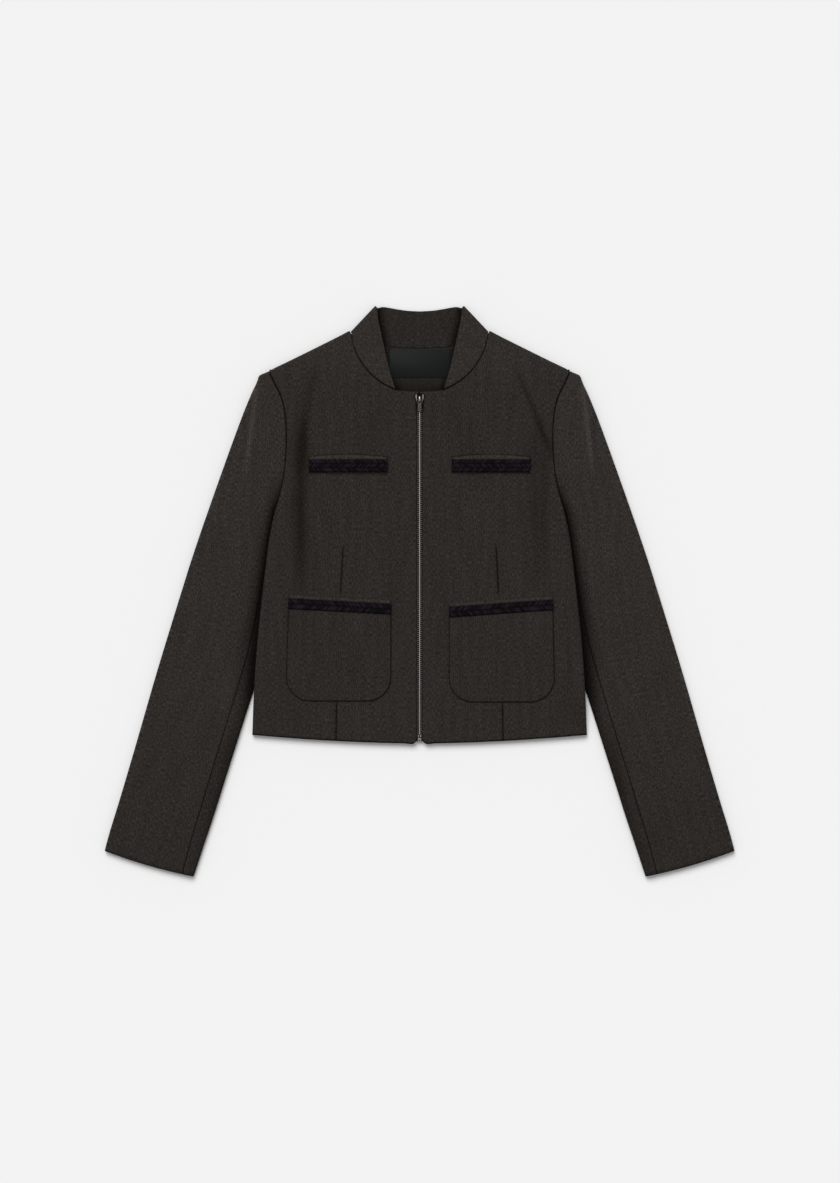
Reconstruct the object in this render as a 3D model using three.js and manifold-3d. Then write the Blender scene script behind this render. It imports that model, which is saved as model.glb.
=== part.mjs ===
// A cropped zip-front jacket with a set-back stand collar, laid flat on its back.
// Millimetres. +X is to the right as seen from above, +Y runs from hem to collar,
// +Z is up, and the cloth rests on z = 0. The origin is under the middle of the jacket.
// Left and right are the wearer's, so the left side is at +X.
import * as THREE from "three";
import { mergeVertices } from "three/addons/utils/BufferGeometryUtils.js";
import Module from "manifold-3d";

// Driving sizes
const CLOTH = 2.2; // flannel with its backing
const GAP = 0.3; // between pieces that meet at a seam
const STACK = 8.0; // two layers of cloth with the air between them
const PRESSED = 4.9; // a sleeve where the body lies on it
const LIFT = PRESSED + 0.5; // how far it raises the body there
const LIFT_RAMP = 72.0; // width over which the body comes down again
const EDGE_STEPS = 3; // rows that turn a rolled edge
const FLAT_STEP = 0.9; // spacing of those rows where the edge stays flat

// Body
const SIDE_ROWS = 11; // hem to underarm
const ARMHOLE_ROWS = 8; // underarm to shoulder tip
const BODY_ROWS = SIDE_ROWS + ARMHOLE_ROWS;
const HEM_SIDE_Y = -178.2;
const HEM_FRONT_Y = -189.8;
const HEM_CURVE = 1.8; // the hem falls towards the front by this power
const HEM_CORNER = 4.0; // rounded corner beside the zip
const UNDERARM_Y = 104.7;
const FRONT_EDGE_X = 3.7; // half of the opening that shows the zip
const SHOULDER_TIP = { x: 186.0, y: 273.4 };
const SHOULDER_NECK = { x: 86.6, y: 323.1 };

// Half outline of the body: armhole, then side
const BODY_OUTLINE = [
  { y: 273.4, x: 187.6 },
  { y: 256.4, x: 179.7 },
  { y: 242.7, x: 172.8 },
  { y: 226.5, x: 168.1 },
  { y: 208.1, x: 165.9 },
  { y: 182.8, x: 165.4 },
  { y: 164.3, x: 166.4 },
  { y: 145.9, x: 168.1 },
  { y: 129.8, x: 170.9 },
  { y: 113.7, x: 175.0 },
  { y: 104.7, x: 177.8 },
  { y: 86.1, x: 182.4 },
  { y: 58.4, x: 187.4 },
  { y: 23.9, x: 191.6 },
  { y: -10.7, x: 195.6 },
  { y: -60.3, x: 200.9 },
  { y: -109.9, x: 204.6 },
  { y: -178.2, x: 207.7 },
];

// Seam between the front and the collar, from the collar's end to the shoulder
const NECK_SEAM = [
  { x: 30.0, y: 250.0 },
  { x: 42.0, y: 255.6 },
  { x: 55.0, y: 264.4 },
  { x: 69.0, y: 279.2 },
  { x: 80.8, y: 300.4 },
  { x: 85.8, y: 320.4 },
];
// Seam between the back and the collar, from the shoulder to the centre back
const BACK_NECK_SEAM = [
  { x: 85.8, y: 320.4 },
  { x: 74.0, y: 312.2 },
  { x: 55.0, y: 306.2 },
  { x: 30.0, y: 303.0 },
  { x: 0.0, y: 302.0 },
];
// Free edge of the collar's front leaf, from its end to the fold
const COLLAR_FRONT_EDGE = [
  { x: 30.6, y: 252.6 },
  { x: 33.5, y: 262.0 },
  { x: 39.8, y: 285.0 },
  { x: 47.4, y: 320.0 },
  { x: 51.9, y: 342.0 },
  { x: 52.2, y: 351.4 },
];
// Free edge of the collar's back leaf, from the fold to the centre back
const COLLAR_BACK_EDGE = [
  { x: 52.2, y: 351.4 },
  { x: 46.0, y: 352.8 },
  { x: 39.0, y: 352.0 },
  { x: 29.0, y: 350.2 },
  { x: 16.0, y: 348.3 },
  { x: 0.0, y: 347.4 },
];
const COLLAR_FOLD_SEAM = { x: 82.9, y: 318.9 }; // where the fold meets the neck seam
const COLLAR_FOLD_OUT = { x: 0.726, y: 0.687 }; // the way the fold bulges
const COLLAR_FOLD_COLUMNS = 5;
const COLLAR_FRONT_COLUMNS = 8;
const COLLAR_BACK_COLUMNS = 7;
const COLLAR_ROWS = 4;

// Sleeve: its outer edge at heights down the arm
const SLEEVE_OUTER = [
  { y: 266.9, x: 197.4 },
  { y: 262.6, x: 200.7 },
  { y: 257.8, x: 202.6 },
  { y: 247.7, x: 207.1 },
  { y: 219.2, x: 219.0 },
  { y: 182.0, x: 233.1 },
  { y: 144.8, x: 246.5 },
  { y: 107.6, x: 259.7 },
  { y: 70.4, x: 272.6 },
  { y: 33.2, x: 285.0 },
  { y: -4.0, x: 296.6 },
  { y: -41.2, x: 308.1 },
  { y: -78.4, x: 319.5 },
  { y: -115.6, x: 330.6 },
  { y: -152.8, x: 341.3 },
  { y: -190.0, x: 352.0 },
  { y: -227.2, x: 362.9 },
  { y: -264.4, x: 374.0 },
  { y: -301.6, x: 385.4 },
  { y: -321.6, x: 390.8 },
];
// Below the underarm, a row for each section: its inner edge, the height where its
// outer edge lies, how far the under sleeve turns over the edge, and its reach on top
const SLEEVE_SECTIONS = [
  { x: 178.0, y: 91.5, outerY: 92.0, turn: 0.5, reach: 4.0 },
  { x: 176.4, y: 76.0, outerY: 78.0, turn: 1.0, reach: 8.0 },
  { x: 175.2, y: 52.0, outerY: 57.0, turn: 1.0, reach: 13.0 },
  { x: 176.2, y: 18.0, outerY: 27.0, turn: 1.0, reach: 17.5 },
  { x: 180.2, y: -18.0, outerY: -6.0, turn: 1.0, reach: 19.5 },
  { x: 186.9, y: -54.0, outerY: -39.0, turn: 1.0, reach: 20.0 },
  { x: 196.0, y: -90.0, outerY: -72.0, turn: 1.0, reach: 20.0 },
  { x: 207.0, y: -126.0, outerY: -104.0, turn: 1.0, reach: 19.5 },
  { x: 218.4, y: -162.0, outerY: -137.0, turn: 1.0, reach: 19.0 },
  { x: 230.2, y: -199.0, outerY: -170.0, turn: 1.0, reach: 18.6 },
  { x: 242.6, y: -238.0, outerY: -206.0, turn: 1.0, reach: 18.2 },
  { x: 255.2, y: -278.0, outerY: -244.0, turn: 1.0, reach: 17.6 },
  { x: 268.2, y: -317.0, outerY: -284.0, turn: 1.0, reach: 16.4 },
  { x: 280.4, y: -354.0, outerY: -322.0, turn: 1.0, reach: 14.0 },
];
const SLEEVE_COLUMNS = 7;
const WRAP_STEPS = 4;
const CUFF_BOW = 2.6; // the cuff's edge bows out by this much

// Soft folds of the front, and the ridge down the head of each sleeve
const FRONT_FOLDS = [
  { x: 143.0, top: 236.0, bottom: -4.0, width: 14.0, height: -1.2, lean: 0.02 },
  { x: 118.0, top: 262.0, bottom: 176.0, width: 16.0, height: 0.8, lean: 0.05 },
];
const SLEEVE_RIDGE = { x: 202.0, top: 268.0, bottom: 110.0, width: 13.0, height: 1.6, lean: 0.13 };

// Patch pockets as they lie in plan, one row for each side
const POCKETS = [
  { side: "left", innerX: 36.3, outerX: 165.2, innerY: -15.2, outerY: -6.0, bottomY: -137.6, flare: 2.0 },
  { side: "right", innerX: 35.2, outerX: 162.2, innerY: -11.4, outerY: -4.6, bottomY: -136.4, flare: 3.2 },
];
const POCKET_CORNER = 30.0;
const POCKET_CLOTH = 1.8;
const POCKET_BRAID = { drop: 4.3, height: 13.0, thick: 1.8 };
const WELT = { innerX: 39.7, outerX: 137.6, bottomY: 147.4, height: 19.6, arch: 3.2, thick: 1.6 };
const WELT_BRAID = { height: 16.0, thick: 1.8 };
const LAID_GAP = 0.45; // under a piece that lies on a curved panel

// Zip
const CHAIN = { half: 3.1, topY: 227.0, bottomY: -178.0, low: 4.5, high: 6.9 };
const TAPE = { inner: 3.4, outer: 15.0, topY: 243.0, bottomY: -186.4, low: 4.7, high: 5.5 };
const ZIP_BOX = { half: 3.1, topY: -178.3, bottomY: -186.6, low: 4.0, high: 7.3 };
const SLIDER = { headHalf: 5.3, tailHalf: 3.9, topY: 244.2, bottomY: 231.2, high: 9.2, low: 3.7 };
const SLIDER_PLATE = 0.8;
const SLIDER_WEB = { half: 2.9, depth: 3.0 };
const CROWN = { half: 0.8, length: 6.4, rise: 2.7, leg: 1.1, bar: 0.9, y: 237.4 };
const PULL = { half: 2.5, tail: 14.6, thick: 1.0, windowHalf: 1.35, windowEnd: 4.6, pin: 0.55, hole: 1.2 };

// Inside the neck
const FACING = { halfWidth: 74.0, bottomY: 222.0, thick: 0.9 };
const LABEL = { halfWidth: 37.6, topY: 301.2, bottomY: 265.0, thick: 0.7 };

const FLANNEL = new THREE.MeshStandardMaterial({ color: 0x2e2a27, roughness: 0.95 });
const FACING_CLOTH = new THREE.MeshStandardMaterial({ color: 0x262220, roughness: 0.9 });
const BRAID = new THREE.MeshStandardMaterial({ color: 0x151117, roughness: 0.85 });
const SATIN = new THREE.MeshStandardMaterial({ color: 0x17191c, roughness: 0.5 });
const TAPE_CLOTH = new THREE.MeshStandardMaterial({ color: 0x211f1e, roughness: 0.9 });
const METAL = new THREE.MeshStandardMaterial({ color: 0x8a7d74, roughness: 0.4, metalness: 1 });

const wasm = await Module();
wasm.setup();
const jacket = new THREE.Group();

function mix(a, b, t) {
  return a + (b - a) * t;
}

// A soft step from 0 to 1 as the value passes from start to end.
function ease(value, start, end) {
  const t = THREE.MathUtils.clamp((value - start) / (end - start), 0, 1);
  return t * t * (3 - 2 * t);
}

// Reads x from a table of outline points at a height, on straight lines between the points.
function outlineX(rows, y) {
  const falling = rows[0].y > rows[rows.length - 1].y ? rows : [...rows].reverse();
  let i = 0;
  while (i < falling.length - 2 && falling[i + 1].y > y) i += 1;
  const p = falling[i];
  const q = falling[i + 1];
  return mix(p.x, q.x, (p.y - y) / (p.y - q.y));
}

// Points spaced evenly along a smooth curve through a table's points.
function alongOutline(rows, count) {
  const points = rows.map((row) => new THREE.Vector3(row.x, row.y, 0));
  return new THREE.CatmullRomCurve3(points, false, "centripetal").getSpacedPoints(count);
}

function bodyHalfWidth(y) {
  return outlineX(BODY_OUTLINE, y);
}

// How strongly the tucked sleeve is felt at this height: 1 beside it, 0 away from it.
function tuckWeight(y) {
  return ease(y, -174, -132) * (1 - ease(y, 114, 156));
}

// Underside of the back at a point in plan: raised by the sleeve that lies under its side.
function backBottom(x, y) {
  const innerEdge = outlineX(SLEEVE_SECTIONS, THREE.MathUtils.clamp(y, -126, 76));
  const reach = Math.min(innerEdge, bodyHalfWidth(y)) - 4;
  return LIFT * tuckWeight(y) * ease(Math.abs(x), reach - LIFT_RAMP, reach);
}

// A long soft fold: a bell across its width that fades out at both ends.
function foldHeight(fold, x, y) {
  const across = (Math.abs(x) - fold.x - fold.lean * (fold.top - y)) / fold.width;
  const along = (fold.top - y) / (fold.top - fold.bottom);
  return fold.height * Math.exp(-across * across) * ease(along, 0, 0.3) * (1 - ease(along, 0.6, 1));
}

// Top of the fronts at a point in plan.
function frontTop(x, y) {
  let z = STACK + backBottom(x, y);
  for (const fold of FRONT_FOLDS) z += foldHeight(fold, x, y);
  return z;
}

// Top of the sleeve at a point in plan: low where the body lies on it.
function sleeveTop(x, y) {
  const edge = bodyHalfWidth(THREE.MathUtils.clamp(y, HEM_SIDE_Y, SHOULDER_TIP.y));
  const pressed = tuckWeight(y) * (1 - ease(Math.abs(x), edge + 3, edge + 34));
  return mix(STACK + foldHeight(SLEEVE_RIDGE, x, y), PRESSED, pressed);
}

function hemY(x) {
  const share = Math.abs(x) / BODY_OUTLINE[BODY_OUTLINE.length - 1].x;
  return mix(HEM_FRONT_Y, HEM_SIDE_Y, share ** HEM_CURVE);
}

// The fronts' hem turns up in a small round corner beside the zip.
function frontHemY(x) {
  const inside = Math.max(0, HEM_CORNER - (x - FRONT_EDGE_X));
  return hemY(x) + HEM_CORNER - Math.sqrt(HEM_CORNER ** 2 - inside ** 2);
}

// A row of a turned edge: how far out it lies and how far the surface has turned down.
// A roll of 0 leaves the rows flat, 1 gives a full quarter circle.
function edgeRow(step, roll, radius) {
  const angle = (step / EDGE_STEPS) * (Math.PI / 2);
  return {
    out: mix(step * FLAT_STEP, radius * Math.sin(angle), roll),
    drop: roll * radius * (1 - Math.cos(angle)),
  };
}

function geometryFrom(positions, indices) {
  const geometry = new THREE.BufferGeometry();
  geometry.setAttribute("position", new THREE.Float32BufferAttribute(positions, 3));
  geometry.setIndex(indices);
  return geometry;
}

function signedVolume(positions, indices) {
  const a = new THREE.Vector3();
  const b = new THREE.Vector3();
  const c = new THREE.Vector3();
  let total = 0;
  for (let i = 0; i < indices.length; i += 3) {
    a.fromArray(positions, indices[i] * 3);
    b.fromArray(positions, indices[i + 1] * 3);
    c.fromArray(positions, indices[i + 2] * 3);
    total += a.dot(b.cross(c));
  }
  return total;
}

// A closed piece of cloth between two grids of the same size, its outer and inner skins.
function clothGeometry(outer, inner) {
  const rows = outer.length;
  const columns = outer[0].length;
  const positions = [outer, inner].flat(2).flatMap((p) => [p.x, p.y, p.z]);
  const indices = [];
  const at = (skin, r, c) => (skin * rows + r) * columns + c;
  const quad = (a, b, c, d) => indices.push(a, b, c, a, c, d);
  for (let r = 0; r < rows - 1; r += 1) {
    for (let c = 0; c < columns - 1; c += 1) {
      quad(at(0, r, c), at(0, r, c + 1), at(0, r + 1, c + 1), at(0, r + 1, c));
      quad(at(1, r, c), at(1, r + 1, c), at(1, r + 1, c + 1), at(1, r, c + 1));
    }
  }
  for (let c = 0; c < columns - 1; c += 1) {
    quad(at(0, 0, c), at(1, 0, c), at(1, 0, c + 1), at(0, 0, c + 1));
    quad(at(0, rows - 1, c), at(0, rows - 1, c + 1), at(1, rows - 1, c + 1), at(1, rows - 1, c));
  }
  for (let r = 0; r < rows - 1; r += 1) {
    quad(at(0, r, 0), at(0, r + 1, 0), at(1, r + 1, 0), at(1, r, 0));
    quad(at(0, r, columns - 1), at(1, r, columns - 1), at(1, r + 1, columns - 1), at(0, r + 1, columns - 1));
  }
  if (signedVolume(positions, indices) < 0) indices.reverse();
  return geometryFrom(positions, indices);
}

function mirrored(grid) {
  return grid.map((line) => line.map((p) => new THREE.Vector3(-p.x, p.y, p.z)));
}

function addMesh(name, geometry, material) {
  geometry.computeVertexNormals();
  const mesh = new THREE.Mesh(geometry, material);
  mesh.name = name;
  jacket.add(mesh);
}

function addCloth(name, outer, inner, material) {
  addMesh(name, clothGeometry(outer, inner), material);
}

function addClothPair(name, outer, inner, material) {
  addCloth(`${name}_left`, outer, inner, material);
  addCloth(`${name}_right`, mirrored(outer), mirrored(inner), material);
}

// The shoulder line, where both panels turn down to meet
const shoulderSlope = (SHOULDER_NECK.y - SHOULDER_TIP.y) / (SHOULDER_TIP.x - SHOULDER_NECK.x);
const rollRadius = (STACK - GAP) / 2;
const shoulderStretch = Math.hypot(1, shoulderSlope); // a turn along Y crosses it aslant
const tipBaseY = SHOULDER_TIP.y - rollRadius * shoulderStretch;

// Height of each row of the body at its side.
function sideRowY(row) {
  if (row <= SIDE_ROWS) return mix(HEM_SIDE_Y, UNDERARM_Y, row / SIDE_ROWS);
  return mix(UNDERARM_Y, tipBaseY, (row - SIDE_ROWS) / ARMHOLE_ROWS);
}

function sideRoll(y) {
  return 1 - ease(y, UNDERARM_Y - 26, UNDERARM_Y);
}

function bodyEdgeX(y) {
  return bodyHalfWidth(y) - GAP / 2 - edgeRow(EDGE_STEPS, sideRoll(y), rollRadius).out;
}

// Columns of a body panel: where each meets the shoulder, and how far it rolls there.
function shoulderColumns() {
  return [0.05, 0.14, 0.3, 0.48, 0.66, 0.84, 1].map((share) => {
    const x = mix(SHOULDER_NECK.x, bodyEdgeX(tipBaseY), share);
    const y = SHOULDER_NECK.y - shoulderSlope * (x - SHOULDER_NECK.x);
    return { x, y, roll: ease(share, 0, 0.14) };
  });
}

// Half of a body panel, rows from hem to shoulder and columns from the middle to the side.
// The last rows and columns turn the shoulder and the side. depth is 0 on the outer skin.
function bodyGrid(columns, hemAt, upper, depth) {
  const last = columns.length - 1;
  const startX = columns[0].x;
  const radius = rollRadius - depth;
  const grid = [];
  for (let r = 0; r <= BODY_ROWS + EDGE_STEPS; r += 1) {
    const row = Math.min(r, BODY_ROWS);
    const sideY = sideRowY(row);
    const v = (sideY - HEM_SIDE_Y) / (tipBaseY - HEM_SIDE_Y);
    const line = [];
    for (let c = 0; c <= last + EDGE_STEPS; c += 1) {
      const column = columns[Math.min(c, last)];
      const share = (column.x - startX) / (bodyEdgeX(tipBaseY) - startX);
      const stretch = mix(1, shoulderStretch, column.roll);
      const fullTurn = edgeRow(EDGE_STEPS, column.roll, rollRadius * stretch).out;
      const x = mix(startX, bodyEdgeX(sideY), share);
      const hemX = mix(startX, bodyEdgeX(HEM_SIDE_Y), share);
      const y = mix(hemAt(hemX), column.y - fullTurn, v);
      const side = edgeRow(c - Math.min(c, last), sideRoll(sideY), radius);
      const top = edgeRow(r - row, column.roll, radius);
      const topOut = edgeRow(r - row, column.roll, radius * stretch).out;
      const turned = side.drop + top.drop;
      const z = upper ? frontTop(x, y) - depth - turned : backBottom(x, y) + depth + turned;
      line.push(new THREE.Vector3(x + side.out, y + topOut, z));
    }
    grid.push(line);
  }
  return grid;
}

// Fronts
const frontNeck = alongOutline(NECK_SEAM, COLLAR_FRONT_COLUMNS);
const bareEdge = [
  { x: FRONT_EDGE_X, y: 244.8 },
  { x: FRONT_EDGE_X + 0.5, y: 245.0 },
  { x: FRONT_EDGE_X + 1.8, y: 245.4 },
  { x: FRONT_EDGE_X + 4.0, y: 246.0 },
  { x: 14.0, y: 247.6 },
  { x: 22.0, y: 248.8 },
];
const frontColumns = [
  ...[...bareEdge, ...frontNeck].map((p) => ({ x: p.x, y: p.y, roll: 0 })),
  ...shoulderColumns(),
];
const frontOuter = bodyGrid(frontColumns, frontHemY, true, 0);
const frontInner = bodyGrid(frontColumns, frontHemY, true, CLOTH);
addClothPair("front", frontOuter, frontInner, FLANNEL);

// Back, one piece from side to side
const backNeck = alongOutline(BACK_NECK_SEAM, COLLAR_BACK_COLUMNS).reverse();
const backColumns = [
  ...backNeck.map((p) => ({ x: p.x, y: p.y, roll: 0 })),
  ...shoulderColumns(),
];
function wholeGrid(half) {
  return half.map((line) => [
    ...line.slice(1).reverse().map((p) => new THREE.Vector3(-p.x, p.y, p.z)),
    ...line,
  ]);
}
const backOuter = wholeGrid(bodyGrid(backColumns, hemY, false, 0));
const backInner = wholeGrid(bodyGrid(backColumns, hemY, false, CLOTH));
addCloth("back", backOuter, backInner, FLANNEL);

// Collar: one strip that runs from its left end round the back of the neck to its right end.
// Each column is a line across the strip from the neck seam to the free edge.
function collarColumns(depth) {
  const columns = [];
  const frontEdge = alongOutline(COLLAR_FRONT_EDGE, COLLAR_FRONT_COLUMNS);
  frontNeck.forEach((seam, i) => {
    const onSeam = { x: seam.x - 0.3, y: seam.y + 0.5 };
    const start = i < COLLAR_FRONT_COLUMNS ? onSeam : COLLAR_FOLD_SEAM;
    columns.push({ start, end: frontEdge[i], z: STACK - depth });
  });
  const peak = frontEdge[COLLAR_FRONT_COLUMNS];
  for (let k = 1; k < COLLAR_FOLD_COLUMNS; k += 1) {
    const angle = (k / COLLAR_FOLD_COLUMNS) * Math.PI;
    const radius = STACK / 2 - depth;
    const out = radius * Math.sin(angle);
    const shift = (p) => ({ x: p.x + out * COLLAR_FOLD_OUT.x, y: p.y + out * COLLAR_FOLD_OUT.y });
    const z = STACK / 2 + radius * Math.cos(angle);
    columns.push({ start: shift(COLLAR_FOLD_SEAM), end: shift(peak), z });
  }
  const backEdge = alongOutline(COLLAR_BACK_EDGE, COLLAR_BACK_COLUMNS);
  [...backNeck].reverse().forEach((seam, i) => {
    const start = i > 0 ? { x: seam.x, y: seam.y + 0.5 } : COLLAR_FOLD_SEAM;
    columns.push({ start, end: backEdge[i], z: depth });
  });
  return columns;
}

function collarGrid(depth) {
  const half = collarColumns(depth);
  const otherHalf = half.slice(0, -1).reverse().map(({ start, end, z }) => ({
    start: { x: -start.x, y: start.y },
    end: { x: -end.x, y: end.y },
    z,
  }));
  const grid = [];
  for (let r = 0; r <= COLLAR_ROWS; r += 1) {
    const v = r / COLLAR_ROWS;
    grid.push([...half, ...otherHalf].map(({ start, end, z }) =>
      new THREE.Vector3(mix(start.x, end.x, v), mix(start.y, end.y, v), z)));
  }
  return grid;
}
addCloth("collar", collarGrid(0), collarGrid(CLOTH), FLANNEL);

// Sleeve sections from the head to the cuff: along the armhole, then down the arm
function sleeveSections() {
  const sections = [];
  for (let k = ARMHOLE_ROWS; k >= 0; k -= 1) {
    const y = sideRowY(SIDE_ROWS + k);
    const fall = 1 - k / ARMHOLE_ROWS;
    const outerY = mix(mix(262.6, 106.0, fall), y, 0.5 * fall);
    sections.push({ x: bodyHalfWidth(y) + GAP / 2, y, outerY, turn: 0, reach: 0 });
  }
  return [...sections, ...SLEEVE_SECTIONS];
}

// A point of the flat sleeve: distance in from the inner edge along a section.
function sectionPoint(section, distance) {
  const outer = { x: outlineX(SLEEVE_OUTER, section.outerY), y: section.outerY };
  const width = Math.hypot(outer.x - section.x, outer.y - section.y);
  const along = { x: (outer.x - section.x) / width, y: (outer.y - section.y) / width };
  return {
    x: section.x + along.x * distance,
    y: section.y + along.y * distance,
    along,
    width,
  };
}

// Distances and heights of the under sleeve where it turns over the inner edge,
// from its end on top round to the underside.
function wrapPoints(section, depth) {
  const top = sleeveTop(section.x, section.y);
  const radius = top / 2;
  const end = section.turn * Math.PI;
  const strip = mix(0.8, Math.max(0.8, section.reach - GAP / 2 - radius), section.turn);
  const slide = (1 - section.turn) * (radius - 1.6);
  const arc = (share) => ({
    d: radius - (radius - depth) * Math.sin(end * share) - slide * share,
    z: radius - (radius - depth) * Math.cos(end * share),
  });
  const points = [];
  for (const part of [1, 0.5]) {
    const run = strip * part;
    const d = arc(1).d - run * Math.cos(end);
    const flat = sectionPoint(section, d);
    const rise = section.turn * (sleeveTop(flat.x, flat.y) - top);
    points.push({ d, z: arc(1).z + run * Math.sin(end) + rise });
  }
  for (let k = WRAP_STEPS; k > 0; k -= 1) points.push(arc(k / WRAP_STEPS));
  return points;
}

// One wall of the sleeve. Its outer edge turns to meet the other wall half way up.
// The upper wall starts at the armhole or the forearm seam. The lower wall turns over
// the inner edge as far as that seam.
function sleeveGrid(upper, depth) {
  const sections = sleeveSections();
  const grid = [];
  for (let r = -EDGE_STEPS; r < sections.length; r += 1) {
    const section = sections[Math.max(0, r)];
    const { width, along } = sectionPoint(section, 0);
    const head = Math.sin((Math.max(0, -r) / EDGE_STEPS) * (Math.PI / 2));
    const bow = r === sections.length - 1 ? CUFF_BOW : 0;
    const line = [];
    const push = (distance, edge, fixedZ) => {
      const flat = sectionPoint(section, distance);
      const high = sleeveTop(flat.x, flat.y);
      const radius = (high - GAP) / 2 - depth;
      const edgeOut = edge * Math.sqrt(1 - head ** 2 / 2);
      const headOut = head * Math.sqrt(1 - edge ** 2 / 2);
      const turned = radius * (1 - Math.sqrt(Math.max(0, 1 - edgeOut ** 2 - headOut ** 2)));
      const across = distance / width;
      const bulge = bow * 4 * across * (1 - across);
      const z = upper ? high - depth - turned : depth + turned;
      line.push(new THREE.Vector3(
        flat.x + along.x * edgeOut * radius + along.y * bulge,
        flat.y + along.y * edgeOut * radius + headOut * radius * 1.15 - along.x * bulge,
        fixedZ ?? z,
      ));
    };
    const flatEnd = width - (STACK - GAP) / 2;
    let start = section.turn > 0 ? section.reach + GAP / 2 : 0;
    if (!upper) {
      for (const { d, z } of wrapPoints(section, depth)) push(d, 0, section.turn > 0 ? z : undefined);
      start = sleeveTop(section.x, section.y) / 2;
    }
    for (let c = 0; c <= SLEEVE_COLUMNS; c += 1) push(mix(start, flatEnd, c / SLEEVE_COLUMNS), 0);
    for (let step = 1; step <= EDGE_STEPS; step += 1) {
      push(flatEnd, Math.sin((step / EDGE_STEPS) * (Math.PI / 2)));
    }
    grid.push(line);
  }
  return grid;
}

addClothPair("top_sleeve", sleeveGrid(true, 0), sleeveGrid(true, CLOTH), FLANNEL);
addClothPair("under_sleeve", sleeveGrid(false, 0), sleeveGrid(false, CLOTH), FLANNEL);

// Height of a grid's surface at a point in plan, read from its own flat facets.
function surfaceHeight(grid, x, y) {
  const point = new THREE.Vector3(x, y, 0);
  const weights = new THREE.Vector3();
  const flatten = (p) => new THREE.Vector3(p.x, p.y, 0);
  for (let r = 0; r < grid.length - 1; r += 1) {
    for (let c = 0; c < grid[0].length - 1; c += 1) {
      const a = grid[r][c];
      const b = grid[r][c + 1];
      const d = grid[r + 1][c];
      const e = grid[r + 1][c + 1];
      for (const [p, q, s] of [[a, b, e], [a, e, d]]) {
        const inside = THREE.Triangle.getBarycoord(point, flatten(p), flatten(q), flatten(s), weights);
        if (inside === null) continue;
        if (Math.min(weights.x, weights.y, weights.z) < -1e-6) continue;
        return weights.x * p.z + weights.y * q.z + weights.z * s.z;
      }
    }
  }
  throw new Error(`no surface at ${x}, ${y}`);
}

// A piece laid on the front, given in plan at x > 0 and raised from the front's own facets.
function addLaid(name, side, plan, lift, thick, material) {
  const at = (height) => plan.map((line) =>
    line.map((p) => new THREE.Vector3(p.x, p.y, surfaceHeight(frontOuter, p.x, p.y) + height)));
  const turn = side === "left" ? (grid) => grid : mirrored;
  addCloth(`${name}_${side}`, turn(at(lift + thick)), turn(at(lift)), material);
}

// A patch in plan: straight slanted top, round bottom corners, wider towards the bottom.
function pocketPlan(pocket) {
  const columns = 10;
  const cornerTop = pocket.bottomY + POCKET_CORNER;
  const rowAt = (heightShare, bottomShare, inset) => {
    const line = [];
    for (let c = 0; c <= columns; c += 1) {
      const u = c / columns;
      const top = mix(pocket.innerY, pocket.outerY, u);
      const outerX = pocket.outerX + pocket.flare * heightShare;
      const x = mix(pocket.innerX + inset, outerX - inset, u);
      line.push({ x, y: mix(top, cornerTop, heightShare) - bottomShare * POCKET_CORNER });
    }
    return line;
  };
  const straight = [0, 0.12, 0.27, 0.45, 0.63, 0.8].map((share) => rowAt(share, 0, 0));
  const corner = [0, 0.25, 0.5, 0.75, 1].map((share) => {
    const angle = share * (Math.PI / 2) * 0.96;
    return rowAt(1, Math.sin(angle), POCKET_CORNER * (1 - Math.cos(angle)));
  });
  return [...straight, ...corner];
}

// A straight band in plan, with an arched top.
function bandPlan({ innerX, outerX, innerY, outerY, height, arch, columns }) {
  return [0, 0.5, 1].map((v) => {
    const line = [];
    for (let c = 0; c <= columns; c += 1) {
      const u = c / columns;
      const rise = arch * 4 * u * (1 - u) * (1 - v);
      line.push({ x: mix(innerX, outerX, u), y: mix(innerY, outerY, u) - v * height + rise });
    }
    return line;
  });
}

for (const pocket of POCKETS) {
  const { side } = pocket;
  addLaid("patch_pocket", side, pocketPlan(pocket), LAID_GAP, POCKET_CLOTH, FLANNEL);
  const braid = bandPlan({
    innerX: pocket.innerX + 0.2,
    outerX: pocket.outerX,
    innerY: pocket.innerY - POCKET_BRAID.drop,
    outerY: pocket.outerY - POCKET_BRAID.drop,
    height: POCKET_BRAID.height,
    arch: 0,
    columns: 10,
  });
  const braidLift = 2 * LAID_GAP + POCKET_CLOTH;
  addLaid("pocket_braid", side, braid, braidLift, POCKET_BRAID.thick, BRAID);

  const weltTop = WELT.bottomY + WELT.height;
  const weltPlan = bandPlan({
    innerX: WELT.innerX,
    outerX: WELT.outerX,
    innerY: weltTop,
    outerY: weltTop,
    height: WELT.height,
    arch: WELT.arch,
    columns: 10,
  });
  addLaid("chest_welt", side, weltPlan, LAID_GAP, WELT.thick, FLANNEL);
  const weltBraid = bandPlan({
    innerX: WELT.innerX,
    outerX: WELT.outerX,
    innerY: WELT.bottomY + WELT_BRAID.height,
    outerY: WELT.bottomY + WELT_BRAID.height,
    height: WELT_BRAID.height - 0.4,
    arch: 0,
    columns: 10,
  });
  addLaid("chest_braid", side, weltBraid, 2 * LAID_GAP + WELT.thick, WELT_BRAID.thick, BRAID);
}

// Outer and inner grids of a flat piece that is even about the middle.
function flatGrids(topAt, halfWidth, bottomY, low, thick, columns) {
  return [low + thick, low].map((z) => [0, 0.5, 1].map((v) => {
    const line = [];
    for (let c = 0; c <= columns; c += 1) {
      const x = mix(-halfWidth, halfWidth, c / columns);
      line.push(new THREE.Vector3(x, mix(bottomY, topAt(x), v), z));
    }
    return line;
  }));
}

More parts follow.
